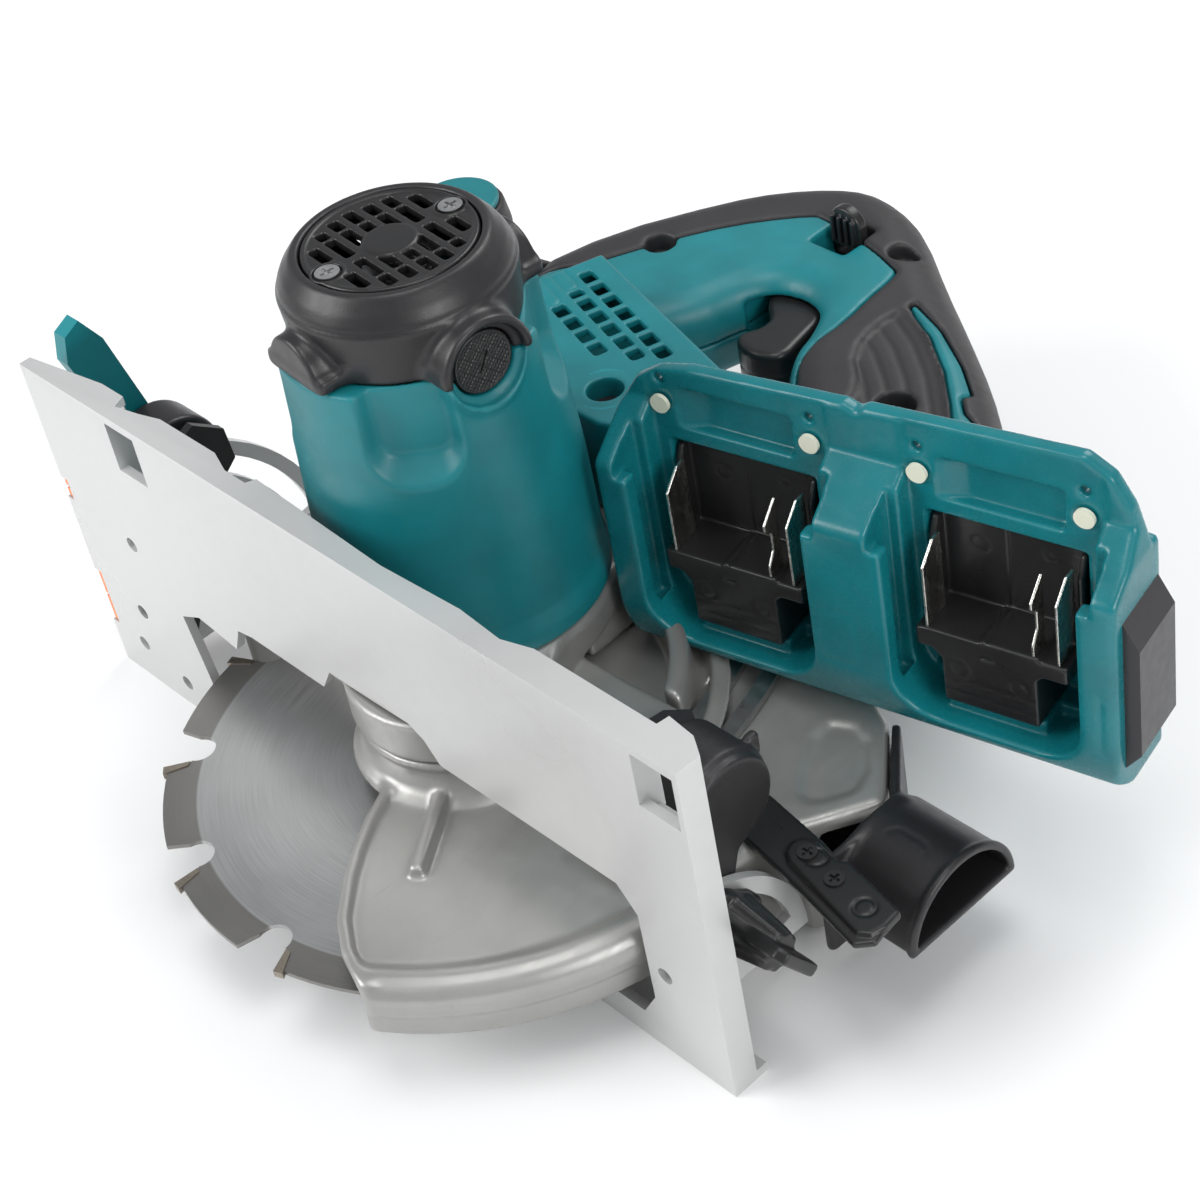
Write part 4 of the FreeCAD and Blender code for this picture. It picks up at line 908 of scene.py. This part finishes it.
def nozzle_arm():
    """Flat arm that ends in a raised tab with two screws and two moulded rings."""
    g = Room((93, 29.5, 14), (153.5, 60, 20), 0.42)
    arm = outline([(93.5, 57.5), (96.5, 42), (123, 37.2), (148, 31.8), (152, 36), (150.5, 44), (118, 53.5)],
                  g.x, g.y)
    tab = outline([(113.2, 50.5), (111.8, 47.5), (113, 44), (116, 41.8), (123, 40), (147, 34.6), (150, 36.5),
                   (151.2, 41), (150.6, 47.2), (128.5, 51.8), (126, 50.2), (117, 52)], g.x, g.y)
    body = join(slab(arm, g.z, 15.1, 17.2, 0.4), slab(tab, g.z, 15.1, 18.4, 0.7), 0.4)
    for spot_x, spot_y in ((121.0, 47.4), (142.6, 42.4)):
        body = cut(body, np.maximum(np.abs(disc(g.x, g.y, (spot_x, spot_y), 2.9)) - 0.4, 17.9 - g.z))
    for spot_x, spot_y in ((118.0, 47.0), (130.0, 44.5)):
        body = cut(body, slab(disc(g.x, g.y, (spot_x, spot_y), 1.7), g.z, 10, 17.6))
    moulded("spout_arm", g, body, black_fine, "nozzle_arm")


BRACKET = [(3.7, -14), (4.5, -17), (7, -19), (13, -19), (26, 8), (32, 26), (44, 34), (38, 48), (20, 48),
           (4.5, 20)]
CLAMP_AXIS = (32.0, 42.0)


def rear_bracket():
    """Bracket plate with a drum round the clamp axis and a small stop tab on the drum's end."""
    g = Room((86.5, 2, -20.5), (110.5, 50, 59.5), 0.6)
    drum = disc(g.y, g.z, CLAMP_AXIS, 0)
    body = slab(drum - 15.9, g.x, 88, 106.4, 1.0)
    plate = np.minimum(outline(BRACKET, g.y, g.z), drum - 14.6)
    body = join(body, slab(plate, g.x, 106.0, 109.0, 0.6), 0.8)
    body = join(body, block(g, 101.0, 104.0, 45.0, 49.0, 46.0, 53.0, 0.5), 0.4)
    body = cut(body, slab(drum - 13.5, g.x, 90.5, 104))
    body = cut(body, slab(disc(g.y, g.z, (19, 16), 2.6), g.x, 100, 112))
    body = cut(body, slab(disc(g.y, g.z, (9, -14), 3.2), g.x, 100, 112))
    moulded("rear_swing_bracket", g, body, dark_steel, "rear_bracket", "cradle")


def front_hood():
    """Drum over the front clamp with a ring shaped groove in its end."""
    g = Room((-153, 14, 24), (-133.5, 50, 60), 0.6)
    drum = disc(g.y, g.z, CLAMP_AXIS, 0)
    body = slab(drum - 15.9, g.x, -151.5, -135.2, 1.4)
    body = cut(body, slab(np.abs(drum - 11.5) - 1.4, g.x, -160, -150.2), 0.4)
    body = cut(body, slab(drum - 3.2, g.x, -160, -120))
    moulded("front_hood", g, body, black, "clamp_hood", "cradle")


def wing_screw():
    """Coned knob with flutes, a three-lobed collar and a cross wing."""
    g = Room((105.5, 4, 2), (148.5, 34, 31), 0.5)
    dy, dz = g.y - 19.0, g.z - 16.0
    radius, angle = np.sqrt(dy ** 2 + dz ** 2), np.arctan2(dz, dy)
    flutes = 0.4 * np.cos(9 * angle)
    cone = slab(radius - 8.2 + (g.x - 118.2) * 0.16 - flutes, g.x, 117.4, 135.0, 0.8)
    collar = slab(radius - 9.2 - 1.4 * np.cos(3 * angle + 0.6), g.x, 114.0, 118.2, 0.6)
    body = join(cone, collar, 0.8)
    span, thick = 0.82 * dz - 0.57 * dy, 0.82 * dy + 0.57 * dz
    wing = outline([(122, -5.5), (132, -8.4), (139, -9.2), (142, -7.6), (142, 7.6), (139, 9.2), (132, 8.4),
                    (122, 5.5)], g.x, span)
    body = join(body, slab(wing, thick, -1.9, 1.9, 0.8), 0.7)
    body = join(body, slab(radius - 6.8, g.x, 113.0, 116), 0.5)
    body = join(body, slab(radius - 2.4, g.x, 106.6, 119))
    moulded("wing_knob", g, body, black_fine, "wing_screw", "rear_clamp")


def bevelled(names, width):
    """Rounds the sharp edges of CAD pieces that stay as they are."""
    for name in names:
        bevel = frame["nodes"][name].modifiers.new("edge", "BEVEL")
        bevel.width = width
        bevel.segments = 2
        bevel.limit_method = "ANGLE"
        bevel.angle_limit = math.radians(50)


gear_housing()
blade_case()
lower_guard()
nozzle()
nozzle_arm()
rear_bracket()
front_hood()
wing_screw()
frame["nodes"]["nozzle_screws"].data.materials[0] = dark_steel
bevelled(["base_plate", "bevel_quadrants", "front_bracket", "depth_lever", "rear_bumper"], 0.0005)
bevelled(["bevel_lever"], 0.0014)


# ---------------- battery terminals

def terminal_carrier(index, start):
    """Black carrier: a back with a raised cheek at each side, a stepped shelf and a narrower foot."""
    g = Room((start + 4.2, -13.2, 30.6), (start + 50.8, 8.0, 87.0), 0.48)
    u, w, z = g.x - start, g.y, g.z
    front = outline([(5.4, 49.5), (5.4, 55.8), (8.2, 56.2), (24.0, 56.2), (24.6, 56.9), (41.0, 56.9),
                     (41.6, 56.0), (49.6, 56.0), (49.6, 50.6), (42.4, 50.6), (40.6, 48.8), (40.6, 32),
                     (12.6, 32), (12.6, 46.6), (10.0, 49.5)], u, z)
    body = slab(front, w, -12.0, 6.6, 0.35)
    back = rounded(u, z, 5.4, 49.6, 50, 85.6, 0.8)
    body = join(body, slab(back, w, 4.0, 6.6, 0.3), 0.3)
    for low, high in ((5.4, 7.4), (47.8, 49.6)):
        cheek = outline([(-1.6, 50), (-1.6, 78), (1.4, 84.0), (6.6, 85.4), (6.6, 50)], w, z)
        body = join(body, slab(cheek, u, low, high, 0.3), 0.3)
    for centre, size in (((18.0, 76.0), 2.4), ((38.0, 78.5), 1.5)):
        body = cut(body, np.maximum(np.abs(disc(u, z, centre, size)) - 0.25, w - 4.35), 0.1)
    for centre, size in (((17.6, 45.0), 2.8), ((35.5, 44.2), 2.2)):
        body = cut(body, np.maximum(np.abs(disc(u, z, centre, size)) - 0.3, w + 11.6), 0.1)
    body = cut(body, np.maximum(rounded(u, z, 24.8, 28.2, 50.6, 51.6, 0.4), w + 11.2))
    for level in (36.2, 41.0):
        body = cut(body, np.maximum(np.maximum(np.abs(z - level) - 0.25, np.abs(u - 26.6) - 13.2), w + 11.7))
    body = cut(body, np.maximum(np.abs(u - 26.0) - 0.25, np.maximum(56.0 - z, np.abs(w + 4) - 9)))
    in_bay("terminal_carrier_%d" % index, g, soften(body), black_fine, "terminal_blocks")


def contact_blades(index, start):
    """Three blades in each carrier, with tips cut back so that a pack slides on."""
    wide = [(-11.4, 56.2), (-11.4, 76.5), (-5.2, 81.8), (-1.4, 81.8), (-1.4, 56.2)]
    narrow = [(-11.4, 56.8), (-11.4, 60.5), (-8.6, 64.5), (-8.6, 70.5), (-11.4, 73.0), (-11.4, 75.0),
              (-4.8, 80.5), (-4.8, 57)]
    for number, (offset, points) in enumerate(((8.3, wide), (46.4, wide), (39.2, narrow))):
        g = Room((start + offset - 0.6, -12.4, 55.2), (start + offset + 1.5, -0.4, 83.0), 0.2)
        blade = slab(outline(points, g.y, g.z), g.x - start, offset, offset + 0.9, 0.1)
        name = "contact_%d_%d" % (index, number)
        in_bay(name, g, blade, plated, "terminal_contacts")


for index, start in enumerate(BAY_STARTS):
    terminal_carrier(index, start)
    contact_blades(index, start)


# ---------------- floor, light and camera

def studio():
    bpy.ops.mesh.primitive_plane_add(size=1)
    floor = bpy.context.object
    floor.name = "floor"
    floor.scale = (6, 6, 1)
    floor.location = (0, 0, 0)
    n = Nodes("floor_paper")
    paper = n.ramp(n.noise(3.0, 2.0), [(0.3, (0.90, 0.90, 0.90)), (0.7, (0.93, 0.93, 0.93))])
    floor.data.materials.append(n.done(paper, 0.8))
    world = bpy.data.worlds.new("studio")
    bpy.context.scene.world = world
    world.use_nodes = True
    world.node_tree.nodes["Background"].inputs["Color"].default_value = (0.94, 0.97, 1.0, 1)
    world.node_tree.nodes["Background"].inputs["Strength"].default_value = 0.42
    lamps = [("key", (-0.75, -1.15, 0.95), 0.9, 15.0), ("side", (1.25, -0.15, 0.75), 0.6, 7.0),
             ("back", (-0.1, 1.15, 1.25), 0.9, 11.0), ("top", (0.15, -0.1, 1.6), 0.7, 6.0)]
    for name, where, size, power in lamps:
        data = bpy.data.lights.new(name, "AREA")
        data.shape = "SQUARE"
        data.size, data.energy = size, power
        lamp = bpy.data.objects.new(name, data)
        lamp.location = where
        lamp.rotation_mode = "QUATERNION"
        lamp.rotation_quaternion = (Vector((0, 0, 0.08)) - Vector(where)).to_track_quat("-Z", "Y")
        bpy.context.scene.collection.objects.link(lamp)


def camera():
    data = bpy.data.cameras.new("camera")
    data.lens, data.sensor_width = 76.73, 36.0
    data.clip_start, data.clip_end = 0.02, 20.0
    eye = bpy.data.objects.new("camera", data)
    right = Vector((0.6793, 0.7177, -0.1532))
    up = Vector((-0.3951, 0.5336, 0.7478))
    back = Vector((0.6184, -0.4474, 0.6460))
    turn = Matrix((right, up, back)).transposed().to_4x4()
    eye.matrix_world = Matrix.Translation(Vector((0.4629, -0.3561, 0.5397))) @ turn
    bpy.context.scene.collection.objects.link(eye)
    bpy.context.scene.camera = eye


studio()
camera()
bpy.context.scene.view_settings.view_transform = "Standard"
